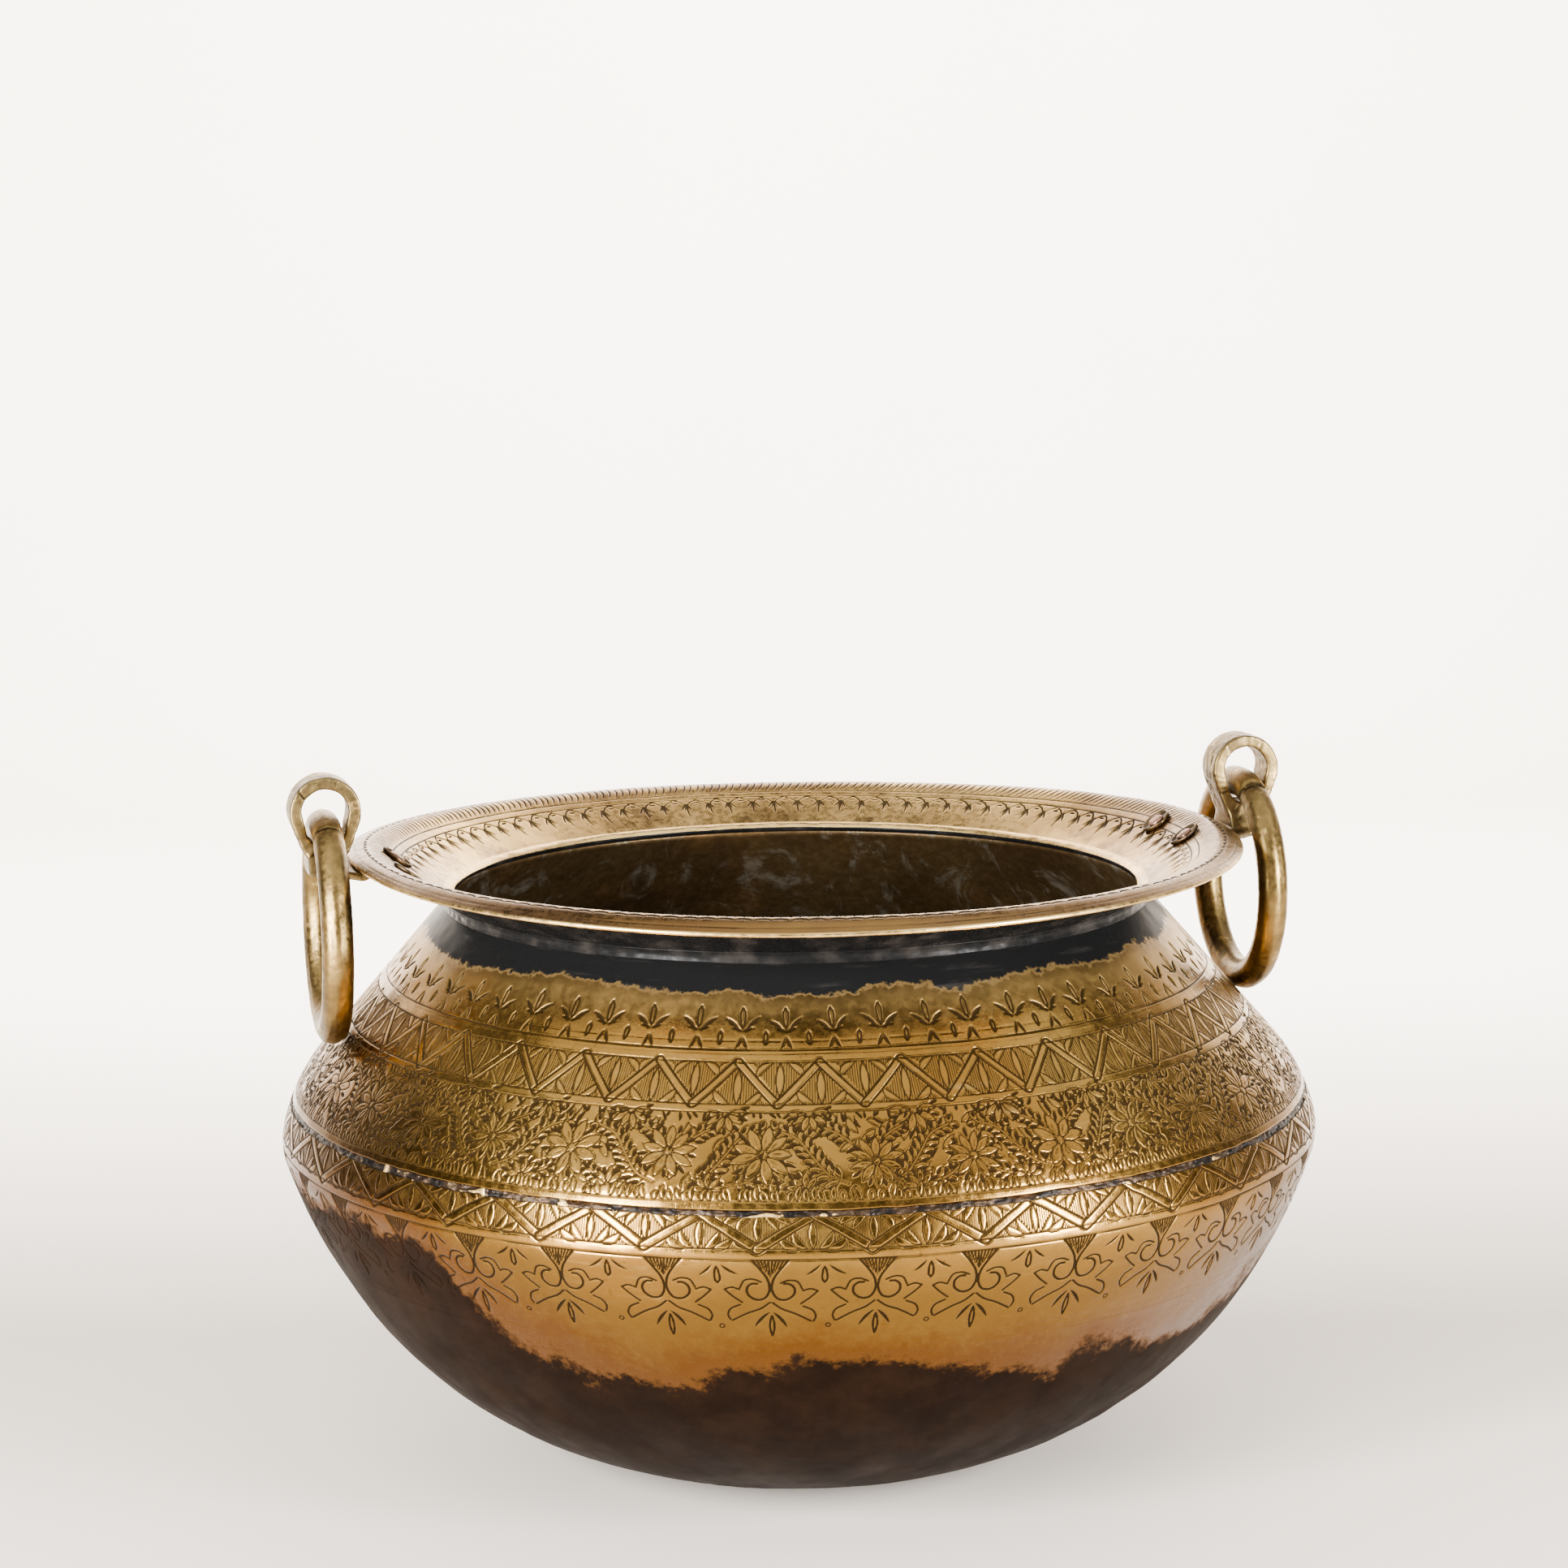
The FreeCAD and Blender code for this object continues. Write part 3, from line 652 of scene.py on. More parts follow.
def make_lower_bowl(materials):
    """The bottom half: plain below, engraved with the scrolls and the belt above."""
    rng = np.random.default_rng(SEED + 1)
    fine_start = SCROLL_END - 6
    stations = rows_between(fine_start, S_GROOVE - 0.1, FINE_ROW)
    relief = Relief(stations, FINE, vessel_radius)
    engrave_scrolls(relief, rng)
    engrave_zigzag(relief, rng, BELT_LOW, BELT_TOP, BELT_ZIGZAGS, bar=3.9, petals=2)
    relief.ring_line(SCROLL_TOP, 0.34, BOLD_DEPTH, seed=35)
    shell = Shell()
    plain = rows_between(FIRST_ROW, fine_start - 2, PLAIN_ROW)[:, None]
    settle = smooth(84, 140, plain)
    shell.add(on_vessel(plain, settle * (beaten(COARSE_TURN, plain, 0.3) + 0.1), COARSE))
    rows = stations[:, None]
    wander = seam_wander(TURN) - seam_sag(TURN)
    hang = smooth(S_GROOVE - SEAM_BLEND, S_GROOVE, rows) * wander
    depth = relief.cut + beaten(TURN, rows)
    shell.add(on_vessel(rows + hang, depth), relief.cut / CUT_DEPTH)
    for rise, drop in ((0.12, 0.2), (0.2, 0.7), (0.2, 1.3)):
        lip = on_vessel(S_GROOVE + rise + wander, drop + beaten(TURN, S_GROOVE))
        shell.add(lip, np.ones((1, FINE)))
    lap_end = S_GROOVE + LAP
    shell.add(on_vessel(np.array([[S_GROOVE + 0.4], [lap_end]]), 2.0, COARSE), slot=1)
    inside = rows_between(lap_end, FIRST_ROW, INSIDE_ROW)[:, None]
    # The wall steps in by a sheet above, where it laps behind the shoulder.
    wall = 2 * SHEET - SHEET * smooth(260, 140, inside)
    shell.add(on_vessel(inside, wall, COARSE), slot=1)
    shell.cap((0, 0, 0), True)
    shell.cap((0, 0, SHEET * MM), False, 1)
    shell.hand_over("lower_bowl_beaten", materials, "lower_bowl")


def make_upper_shoulder(materials):
    """The shoulder: the floral band, a zigzag and the sprigs, from the belly lip to the neck."""
    rng = np.random.default_rng(SEED + 2)
    stations = rows_between(S_SEAM + 0.5, S_NECK - 0.6, FINE_ROW)
    relief = Relief(stations, FINE, vessel_radius)
    engrave_sprigs(relief, rng)
    engrave_zigzag(relief, rng, ZIGZAG_LOW, STRIP_LOW, ZIGZAGS, bar=3.6, petals=1)
    engrave_floral(relief, rng)
    relief.ring_line(SPRIG_FOOT, 0.36, CUT_DEPTH * 0.85, seed=11)
    relief.ring_line(SPRIG_FOOT - 2.0, 0.14, 0.2, seed=13)
    relief.ring_line(S_SEAM + 4.2, 0.12, 0.3, 0.2, seed=15)
    wander = seam_wander(TURN)
    shell = Shell()
    for rise, drop in ((0.0, SHEET), (-0.1, 1.1), (0.0, 0.45), (0.2, 0.12)):
        shell.add(on_vessel(S_SEAM + rise + wander, drop + beaten(TURN, S_SEAM)))
    rows = stations[:, None]
    hang = (1 - smooth(S_SEAM, S_SEAM + SEAM_BLEND, rows)) * wander
    settle = 1 - smooth(S_NECK - 6, S_NECK - 1, rows)
    depth = relief.cut + beaten(TURN, rows) * settle
    shell.add(on_vessel(rows + hang, depth), relief.cut / CUT_DEPTH)
    shell.add(on_vessel(np.array([[S_NECK]]), 0.0, COARSE))
    shell.add(on_vessel(np.array([[S_NECK]]), SHEET, COARSE), slot=1)
    inside = rows_between(S_NECK - 3, S_SEAM + 1.5, INSIDE_ROW)[:, None]
    shell.add(on_vessel(inside, SHEET, COARSE), slot=1)
    shell.close(1)
    shell.hand_over("upper_shoulder_beaten", materials, "upper_shoulder")


def make_belly_braze(materials):
    """The uneven bead in the belly seam, sunk here and standing proud there."""
    across = np.linspace(0, 1, 9)[:, None]
    station = S_GROOVE - 0.1 + across * (S_SEAM - S_GROOVE + 0.2) + seam_wander(TURN)
    station = station - (1 - across) * seam_sag(TURN)
    lumps = wrapped_noise(TURN, across * 3, 1, 700, SEED + 60)
    pools = wrapped_noise(TURN, across, 1, 120, SEED + 61)
    bridges = smooth(0.62, 0.85, wrapped_noise(TURN, across * 0.6, 1, 150, SEED + 62))
    depth = 0.75 + 0.35 * lumps + 0.45 * pools - 0.15 * np.sin(np.pi * across) - 0.8 * bridges
    depth = np.clip(depth, -0.2, 1.5)
    shell = Shell()
    shell.add(on_vessel(station, depth), smooth(-0.1, 0.5, depth))
    back = np.array([[S_SEAM - 0.3], [S_GROOVE + 0.3]])
    shell.add(on_vessel(back, 1.7))
    shell.close()
    shell.hand_over("belly_seam_bead", materials, "belly_seam_braze")


TOP_ARC = BROW_ARC + FLANGE_SHEET
BROW_LENGTH = TOP_ARC * (FLANGE_SLOPE + EDGE_DROOP)
BROW_RADIUS = FLANGE_RADIUS - TOP_ARC * math.sin(EDGE_DROOP)
BROW_FOOT = BROW_RADIUS - BROW_ARC * math.sin(FLANGE_SLOPE)
BROW_HEIGHT = (
    NECK_HEIGHT + (BROW_FOOT - NECK_RADIUS) * math.tan(FLANGE_SLOPE)
    - BROW_ARC * math.cos(FLANGE_SLOPE)
)


def on_flange(station, above):
    """Radius and height at a length inwards from the rim's edge, and above its underside."""
    station = np.asarray(station, float)
    lean = np.minimum(station / TOP_ARC - EDGE_DROOP, FLANGE_SLOPE)
    run = np.maximum(station - BROW_LENGTH, 0)
    size = BROW_ARC + above
    radius = BROW_RADIUS - size * np.sin(lean) - run * math.cos(FLANGE_SLOPE)
    height = BROW_HEIGHT + size * np.cos(lean) - run * math.sin(FLANGE_SLOPE)
    return radius, height


def flange_station(radius, above=FLANGE_SHEET):
    """The length inwards from the rim's edge at which a face of the rim has a radius."""
    stations = np.linspace(0, 70, 1401)
    return float(np.interp(-radius, -on_flange(stations, above)[0], stations))


def bell(angle, centre, width):
    """A smooth rise to 1 round one side of the vessel."""
    away = (angle - centre + math.pi) % FULL_TURN - math.pi
    return np.exp(-(away / width) ** 2)


def rim_wave(points):
    """Lifts points, in metres, with the hand-made wave of the rim."""
    angle = np.arctan2(points[:, 1], points[:, 0])
    reach = np.hypot(points[:, 0], points[:, 1]) / MM
    out = smooth(NECK_RADIUS, FLANGE_RADIUS + 6, reach)
    margin = smooth(204, FLANGE_RADIUS, reach)
    left, right = bell(angle, math.pi, 0.6), bell(angle, 0, 0.6)
    front, back = bell(angle, -0.6 * math.pi, 0.9), bell(angle, 0.42 * math.pi, 0.9)
    idle = ripple(angle, 11, 70)
    lift = out * (5.4 * left + 3.6 * right + 2.0 * front - 4.2 * back + 0.7 * idle)
    lift = lift - margin * (0.8 * left + 2.6 * right + 3.8 * front)
    waved = points.copy()
    waved[:, 2] += lift * MM
    return waved


def lug_wave(points):
    """The rim's wave for a lug: its plate follows the rim, and its eye stays put."""
    keep = 1 - smooth(292, 305, points[:, 2:] / MM)
    return points + (rim_wave(points) - points) * keep


def make_neck_braze(materials):
    """The lumpy fillet of braze under the flange."""
    turn = angles_of(2 * COARSE)[None, :]
    leg, slope = 4.4, FLANGE_SLOPE
    cone = math.radians(ARCS[-1][1])
    across = np.linspace(0, 1, 9)[:, None]
    low = np.array([NECK_RADIUS - leg * math.cos(cone), NECK_HEIGHT - leg * math.sin(cone)])
    high = np.array([NECK_RADIUS + leg * math.cos(slope), NECK_HEIGHT + leg * math.sin(slope)])
    lumps = wrapped_noise(turn, across * 2, 1, 240, SEED + 62) * 0.3
    hollow = (0.75 + lumps) * np.sin(np.pi * across)
    away = np.array([high[1] - low[1], low[0] - high[0]])
    away = away / np.hypot(*away)
    line = low + across * (high - low)
    radius = line[:, :1] - hollow * away[0]
    height = line[:, 1:] - hollow * away[1]
    shell = Shell()
    shell.add(turned(radius, height, turn))
    shell.add(turned(np.full((1, 1), NECK_RADIUS), NECK_HEIGHT, turn))
    shell.close()
    shell.hand_over("neck_seam_bead", materials, "neck_seam_braze", rim_wave)


SCALLOP_RADIUS = 207.4
GADROON_TOP = 205.0
GADROON_LOW = 195.6
RIM_LINES = ((212.2, 0.15, 0.3), (194.6, 0.28, 0.4), (190.8, 0.30, 0.44))
RIM_SPRIG_TOP = 190.4
SCALLOPS = 162
RIM_SPRIGS = 98


def engrave_flange(relief, rng):
    """The rim's rings of scallops, gadroons and sprigs. Stations run inwards from the rim."""
    for radius, width, depth in RIM_LINES:
        relief.ring_line(flange_station(radius), width, depth, 0.2, seed=int(radius))
    gadroon_length = flange_station(GADROON_LOW) - flange_station(GADROON_TOP)
    for _, angle in places(rng, SCALLOPS, 0.1):
        pen = Pen(relief, angle, flange_station(SCALLOP_RADIUS))
        pen.stab((-3.7, -0.6), (3.7, -0.6), 0.55, 0.16, CUT_DEPTH * 0.9)
    for _, angle in places(rng, SCALLOPS * 2, 0.1):
        pen = Pen(relief, angle, flange_station(GADROON_TOP))
        pen.stab((0, 0), (3.0, gadroon_length * rng.uniform(0.92, 1.02)), 0.34, 0.1)
    for _, angle in places(rng, RIM_SPRIGS, 0.05):
        pen = Pen(relief, angle, flange_station(RIM_SPRIG_TOP), stray(rng, 0.08))
        pen.stab((0, 3.4), (0, rng.uniform(13, 15.5)), 0.4)
        for side in (-1, 1):
            line = curve((side * 5.8, 0.6), (side * 3.2, 2.0), (side * 0.8, 4.6))
            pen.groove(line, 0.3, CUT_DEPTH)
            pen.stab((side * 0.4, 4.0), (side * rng.uniform(2.8, 4.0), 10.0), 0.36)
            pen.stab((side * 0.3, 4.2), (side * 1.5, 10.8), 0.2, 0, LINE_DEPTH)
        dot = Pen(relief, angle + math.pi / RIM_SPRIGS, flange_station(RIM_SPRIG_TOP - 2.6))
        dot.groove([(-0.9, 0), (0.9, 0)], 0.5, CUT_DEPTH)


def make_rim(materials):
    """The rim: engraved on top, sooty below, rounded at its edge, worn along the throat."""
    rng = np.random.default_rng(SEED + 3)
    lip_foot = THROAT_RADIUS + LIP_WIDTH
    stations = rows_between(1.0, flange_station(lip_foot), FINE_ROW)
    relief = Relief(stations, FINE, lambda station: float(on_flange(station, FLANGE_SHEET)[0]))
    engrave_flange(relief, rng)
    shell = Shell()
    shell.add(turned(np.full((1, 1), THROAT_RADIUS), NECK_HEIGHT, COARSE_TURN), slot=1)
    under = rows_between(flange_station(NECK_RADIUS, 0.0), 1.4, 1.8)[:, None]
    radius, height = on_flange(under, 0.12 * beaten(COARSE_TURN, under, 1))
    shell.add(turned(radius, height, COARSE_TURN), slot=1)
    wobble = 0.35 * ripple(TURN, 80, 71)
    half = FLANGE_SHEET / 2
    bulge = np.radians(np.linspace(-70, 70, 7))[:, None]
    middle_radius, middle_height = on_flange(0.0, half)
    onward = half * (np.cos(bulge) - 0.95)
    aside = half * np.sin(bulge)
    along = middle_radius + onward * math.cos(EDGE_DROOP) + aside * math.sin(EDGE_DROOP)
    rise = middle_height - onward * math.sin(EDGE_DROOP) + aside * math.cos(EDGE_DROOP)
    shell.add(turned(along + wobble * (wobble < 0), rise, TURN))
    rows = stations[:, None]
    sunk = smooth(1, 5, rows) * (relief.cut + 0.8 * beaten(TURN, rows + 500))
    radius, height = on_flange(rows, FLANGE_SHEET - sunk)
    inward = wobble * (wobble < 0) * (1 - smooth(1, 9, rows))
    shell.add(turned(radius + inward, height, TURN), relief.cut / CUT_DEPTH)
    share = np.linspace(0.12, 1, 9)[:, None]
    lip_top = float(on_flange(flange_station(lip_foot), FLANGE_SHEET)[1])
    lip_end = NECK_HEIGHT + LIP_RISE
    wear = wrapped_noise(TURN, share * 2, 1, 190, SEED + 72)
    worn = ripple(TURN, 46, 73)
    bow = np.sin(np.pi * share) * (0.75 + 0.25 * wear)
    lip_radius = lip_foot - share * LIP_WIDTH + 0.6 * share * worn
    lip_height = lip_top + share * (lip_end - lip_top) + bow
    shell.add(turned(lip_radius, lip_height, TURN))
    shell.close(1)
    shell.hand_over("rim_engraved", materials, "rim_flange", rim_wave)


def make_ring(hand, side, materials, seed):
    """A forged ring: a round bar hammered into soft facets, with its joint near the top."""
    round_ring = angles_of(RING_COLUMNS)[None, :]
    section = angles_of(RING_STEPS)[:, None]
    facets = 0.035 * (1 - np.abs(np.cos(4 * section + 0.4 * np.sin(round_ring))))
    facets = facets + 0.02 * np.sin(2 * section)
    hammered = 0.02 * wrapped_noise(round_ring, section * 3, 1.0, 64, seed)
    nicks = 0.028 * np.clip(wrapped_noise(round_ring, section * 9, 1.0, 190, seed + 1) - 0.45, 0, 1)
    gap = (round_ring - JOINT_ANGLE + math.pi) % FULL_TURN - math.pi
    away = gap * 48  # about millimetres along the bar
    crack = CRACK_DEPTH * np.exp(-(away / 0.9) ** 2)
    outward = np.cos(section - (0 if side > 0 else math.pi)) > 0.55
    pit = PIT_DEPTH * np.exp(-(away / 2.2) ** 2) * outward
    stock = RING_STOCK * (0.992 - facets * 0.8 - np.abs(hammered) - nicks - crack - pit)
    across = RING_RADIUS + stock * np.cos(section)
    x = stock * np.sin(section)
    y = across * np.cos(round_ring)
    z = across * np.sin(round_ring) + RING_HANG - RING_RADIUS
    points = np.stack([x + side * EYE_REACH, y, z], axis=-1) * MM
    cut = crack / CRACK_DEPTH + pit / PIT_DEPTH + nicks * 12
    shell = Shell()
    shell.add(points[::-1], np.clip(cut, 0, 1)[::-1])
    shell.close()
    shell.hand_over(
        f"{hand}_ring_forged", materials, f"{hand}_handle_ring",
        body=f"{hand}_ring",
    )


def rivet_frame(side, row):
    """The place of a rivet: its foot on the rim's top face, and its three directions."""
    azimuth = math.radians(RIVET_AZIMUTH) * row * side + (0 if side > 0 else math.pi)
    cosine, sine = math.cos(FLANGE_SLOPE), math.sin(FLANGE_SLOPE)
    out = Vector((math.cos(azimuth), math.sin(azimuth), 0))
    axis = Vector((-out.x * sine, -out.y * sine, cosine))
    radial = Vector((out.x * cosine, out.y * cosine, sine))
    seat = out * RIVET_RADIUS
    seat.z = on_flange(flange_station(RIVET_RADIUS), FLANGE_SHEET)[1]
    return np.array(seat), np.array(radial), np.array(axis.cross(radial)), np.array(axis)


def on_rivet(place, radius, turn, up):
    """Points in metres from millimetres and angles round a rivet, and heights along it."""
    seat, radial, sideways, axis = place
    across, aside = radius * np.cos(turn), radius * np.sin(turn)
    points = across[..., None] * radial + aside[..., None] * sideways + up[..., None] * axis
    return (points + seat) * MM


def make_rivet(name, node, place, materials, seed):
    """A copper rivet: a hammered disc under the lug, a shank and a domed burr on the rove."""
    grip = FLANGE_SHEET + LUG_PLATE
    turn = angles_of(48)[None, :]
    head = [(0.6, 1.6), (3.0, 1.75), (4.2, 1.4), (4.7, 0.9), (4.5, 0.2)]
    head = [(radius, -grip - drop) for radius, drop in head]
    shank = [(4.3, -grip), (2.5, -grip), (2.5, 1.15)]
    burr = [(3.6, 1.2), (3.85, 1.6), (3.7, 2.1), (3.0, 2.55), (1.6, 2.8), (0.5, 2.85)]
    rows = np.array(head + shank + burr)
    lumps = wrapped_noise(turn, rows[:, 1:] * 1.3, 1, 11, seed)
    lumps = lumps + 0.5 * wrapped_noise(turn, rows[:, 1:] * 3, 1, 24, seed + 1)
    loose = np.repeat([1.0, 0.0, 1.0], [len(head), len(shank), len(burr)])[:, None]
    radius = rows[:, :1] * (1 + 0.07 * lumps * loose)
    height = rows[:, 1:] + 0.16 * loose * wrapped_noise(turn, rows[:, :1], 1, 9, seed + 2)
    shell = Shell()
    shell.add(on_rivet(place, radius, turn, height))
    for up, at_start in ((head[0][1], True), (burr[-1][1], False)):
        shell.cap(on_rivet(place, np.zeros(1), np.zeros(1), np.array([up]))[0], at_start)
    shell.hand_over(name, materials, node, rim_wave)


def make_rove(name, node, place, materials, seed):
    """A rove: a thin boat-shaped washer with an uneven turned-up brim round the rivet's burr."""
    turn = angles_of(120)[None, :]
    long, broad = 8.6, 6.2
    cosine, sine = np.abs(np.cos(turn)), np.abs(np.sin(turn))
    boat = ((cosine / long) ** 1.55 + (sine / broad) ** 1.75) ** (-1 / 1.62)
    boat = boat * (1 + 0.03 * wrapped_noise(turn, 0.5, 1, 14, seed))
    uneven = 0.22 * wrapped_noise(turn, 0.5, 1, 10, seed + 1)
    rows = [
        (0.0, 2.6, 0.14), (0.7, 0.0, 0.14), (0.9, 0.0, 0.2), (0.985, 0.0, 0.7), (1.0, 0.0, 1.5),
        (0.985, 0.0, 2.1), (0.94, 0.0, 2.4), (0.88, 0.0, 2.2), (0.84, 0.0, 1.6), (0.76, 0.0, 1.15),
        (0.0, 3.6, 1.05), (0.0, 2.6, 1.05),
    ]
    shell = Shell()
    for share, fixed, up in rows:
        radius = share * boat + fixed
        brim = up + uneven * (up > 1.3)
        shell.add(on_rivet(place, radius, turn, brim))
    shell.close()
    shell.hand_over(name, materials, node, rim_wave)


def make_lug(name, node, materials, seed):
    """A rough cast lug: the CAD solid rounded over by a voxel remesh, then pocked and filed."""
    piece = add_object(name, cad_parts[node].data.copy())
    remesh = piece.modifiers.new("cast", "REMESH")
    remesh.mode = "VOXEL"
    remesh.voxel_size = 0.7 * MM
    soften = piece.modifiers.new("soften", "SMOOTH")
    soften.iterations = 6
    soften.factor = 0.5
    graph = bpy.context.evaluated_depsgraph_get()
    cast = bpy.data.meshes.new_from_object(piece.evaluated_get(graph))
    piece.modifiers.clear()
    piece.data = cast
    count = len(cast.vertices)
    points = np.zeros(count * 3)
    normals = np.zeros(count * 3)
    cast.vertices.foreach_get("co", points)
    cast.vertex_normals.foreach_get("vector", normals)
    points, normals = points.reshape(-1, 3), normals.reshape(-1, 3)
    height = points[:, 2] / MM
    turn = np.arctan2(height - RING_HANG, np.abs(points[:, 0]) / MM - EYE_REACH) % FULL_TURN
    side = points[:, 1] / MM
    dents = 0.3 * np.abs(wrapped_noise(turn, side + 60, 4.0, 26, seed))
    pocks = 0.7 * np.clip(wrapped_noise(turn, side + 60, 1.6, 70, seed + 1) - 0.5, 0, 1)
    nicks = 0.7 * np.clip(wrapped_noise(turn, side * 0.2 + 60, 1.0, 90, seed + 2) - 0.62, 0, 1)
    free = smooth(294, 299, height)
    depth = (0.1 + dents + pocks + nicks) * (0.25 + 0.75 * free) * MM
    points = lug_wave(points - normals * depth[:, None])
    cast.vertices.foreach_set("co", points.reshape(-1))
    mask = cast.attributes.new("cut", "FLOAT", "POINT")
    mask.data.foreach_set("value", np.clip((pocks + nicks) * 3, 0, 1).astype(np.float32))
    cast.polygons.foreach_set("use_smooth", np.ones(len(cast.polygons), bool))
    cast.materials.clear()
    cast.materials.append(materials[0])
    cast.update()
    finish_piece(piece, "vessel", node)


def finish_piece(piece, body, node):
    """Hands a piece to its body, in place of its CAD node."""
    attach(piece, body)
    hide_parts(node)


class Surface:
    """A material's node tree, with short calls for the nodes it needs."""

    def __init__(self, name):
        self.material = bpy.data.materials.new(name)
        self.material.use_nodes = True
        self.tree = self.material.node_tree
        self.shader = self.tree.nodes["Principled BSDF"]
        self.place = self.add("ShaderNodeTexCoord").outputs["Object"]
        self.color = None

    def add(self, kind, inputs=(), **settings):
        node = self.tree.nodes.new(kind)
        for key, value in settings.items():
            setattr(node, key, value)
        for key, value in dict(inputs).items():
            if isinstance(value, bpy.types.NodeSocket):
                self.tree.links.new(value, node.inputs[key])
            else:
                node.inputs[key].default_value = value
        return node

    def noise(self, scale, detail=3.0, roughness=0.55, stretch=None, distortion=0.0):
        place = self.place
        if stretch:
            place = self.add("ShaderNodeMapping", {"Vector": place, "Scale": stretch}).outputs[0]
        inputs = {"Vector": place, "Scale": scale, "Detail": detail, "Roughness": roughness}
        inputs["Distortion"] = distortion
        return self.add("ShaderNodeTexNoise", inputs).outputs["Fac"]

    def along(self, axis):
        return self.add("ShaderNodeSeparateXYZ", {0: self.place}).outputs[axis]

    def reach(self):
        """The distance from the vessel's axis."""
        flat = self.add("ShaderNodeVectorMath", {0: self.place, 1: (1, 1, 0)}, operation="MULTIPLY")
        node = self.add("ShaderNodeVectorMath", {0: flat.outputs[0]}, operation="LENGTH")
        return node.outputs["Value"]

    def sum(self, first, second, operation="ADD"):
        return self.add("ShaderNodeMath", {0: first, 1: second}, operation=operation).outputs[0]

    def ramp(self, value, low, high, start=0.0, end=1.0):
        """Maps a value from low..high onto start..end, softly and clamped."""
        inputs = {"Value": value, "From Min": low, "From Max": high, "To Min": start, "To Max": end}
        node = self.add("ShaderNodeMapRange", inputs, interpolation_type="SMOOTHSTEP")
        return node.outputs["Result"]

    def spread(self, noise, start, end):
        """Spreads the middle of a noise's range over start..end."""
        return self.ramp(noise, 0.3, 0.7, start, end)

    def mix(self, share, first, second):
        """Mixes two colours."""
        node = self.add("ShaderNodeMix", data_type="RGBA")
        for index, value in ((0, share), (6, first), (7, second)):
            if isinstance(value, bpy.types.NodeSocket):
                self.tree.links.new(value, node.inputs[index])
            elif index:
                node.inputs[index].default_value = (*value, 1)
            else:
                node.inputs[index].default_value = value
        return node.outputs[2]

    def blend(self, share, first, second):
        """Mixes two numbers."""
        node = self.add("ShaderNodeMix", {0: share, 2: first, 3: second}, data_type="FLOAT")
        return node.outputs[0]

    def cut(self):
        return self.add("ShaderNodeAttribute", attribute_name="cut").outputs["Fac"]

    def bump(self, height, distance, strength=1.0, under=None):
        inputs = {"Height": height, "Distance": distance, "Strength": strength}
        if under:
            inputs["Normal"] = under
        return self.add("ShaderNodeBump", inputs).outputs["Normal"]

    def tint(self, color, value, low, high, most=1.0):
        """Lays a colour over the surface where a value runs from low to high."""
        self.color = self.mix(self.ramp(value, low, high, 0, most), self.color, color)

    def finish(self, roughness, metallic, normal):
        values = {"Base Color": self.color, "Roughness": roughness, "Metallic": metallic}
        values["Normal"] = normal
        for key, value in values.items():
            if isinstance(value, bpy.types.NodeSocket):
                self.tree.links.new(value, self.shader.inputs[key])
            else:
                self.shader.inputs[key].default_value = value
        return self.material


GOLD = (0.35, 0.200, 0.044)
PALE_GOLD = (0.50, 0.335, 0.115)
AMBER = (0.24, 0.118, 0.022)
FIRED = (0.128, 0.064, 0.011)
OLIVE = (0.095, 0.062, 0.017)
SOOT = (0.004, 0.004, 0.004)
UMBER = (0.004, 0.0016, 0.0006)
RUST = (0.105, 0.036, 0.005)
GROUND = (0.014, 0.008, 0.003)


# Heights in metres where the fire has changed the brass, from untouched to fully changed, and where
# light and shade are painted on.
AMBER_ZONE = (0.170, 0.130)
RUST_ZONE = (0.130, 0.104)
BURNT_ZONE = (0.108, 0.096)
# A band of painted light: the shoulder just under the rim is lightened, standing in for the light
# the rim blocks.
PAINTED_LIGHT_ZONE = (0.238, 0.256)
BROWN_ZONE = (0.2530, 0.2580)
# The neck's black band is soot and painted shade: it also stands in for the shade of the rim's
# drooping edge.
SOOT_AND_SHADE_ZONE = (0.2570, 0.2592)


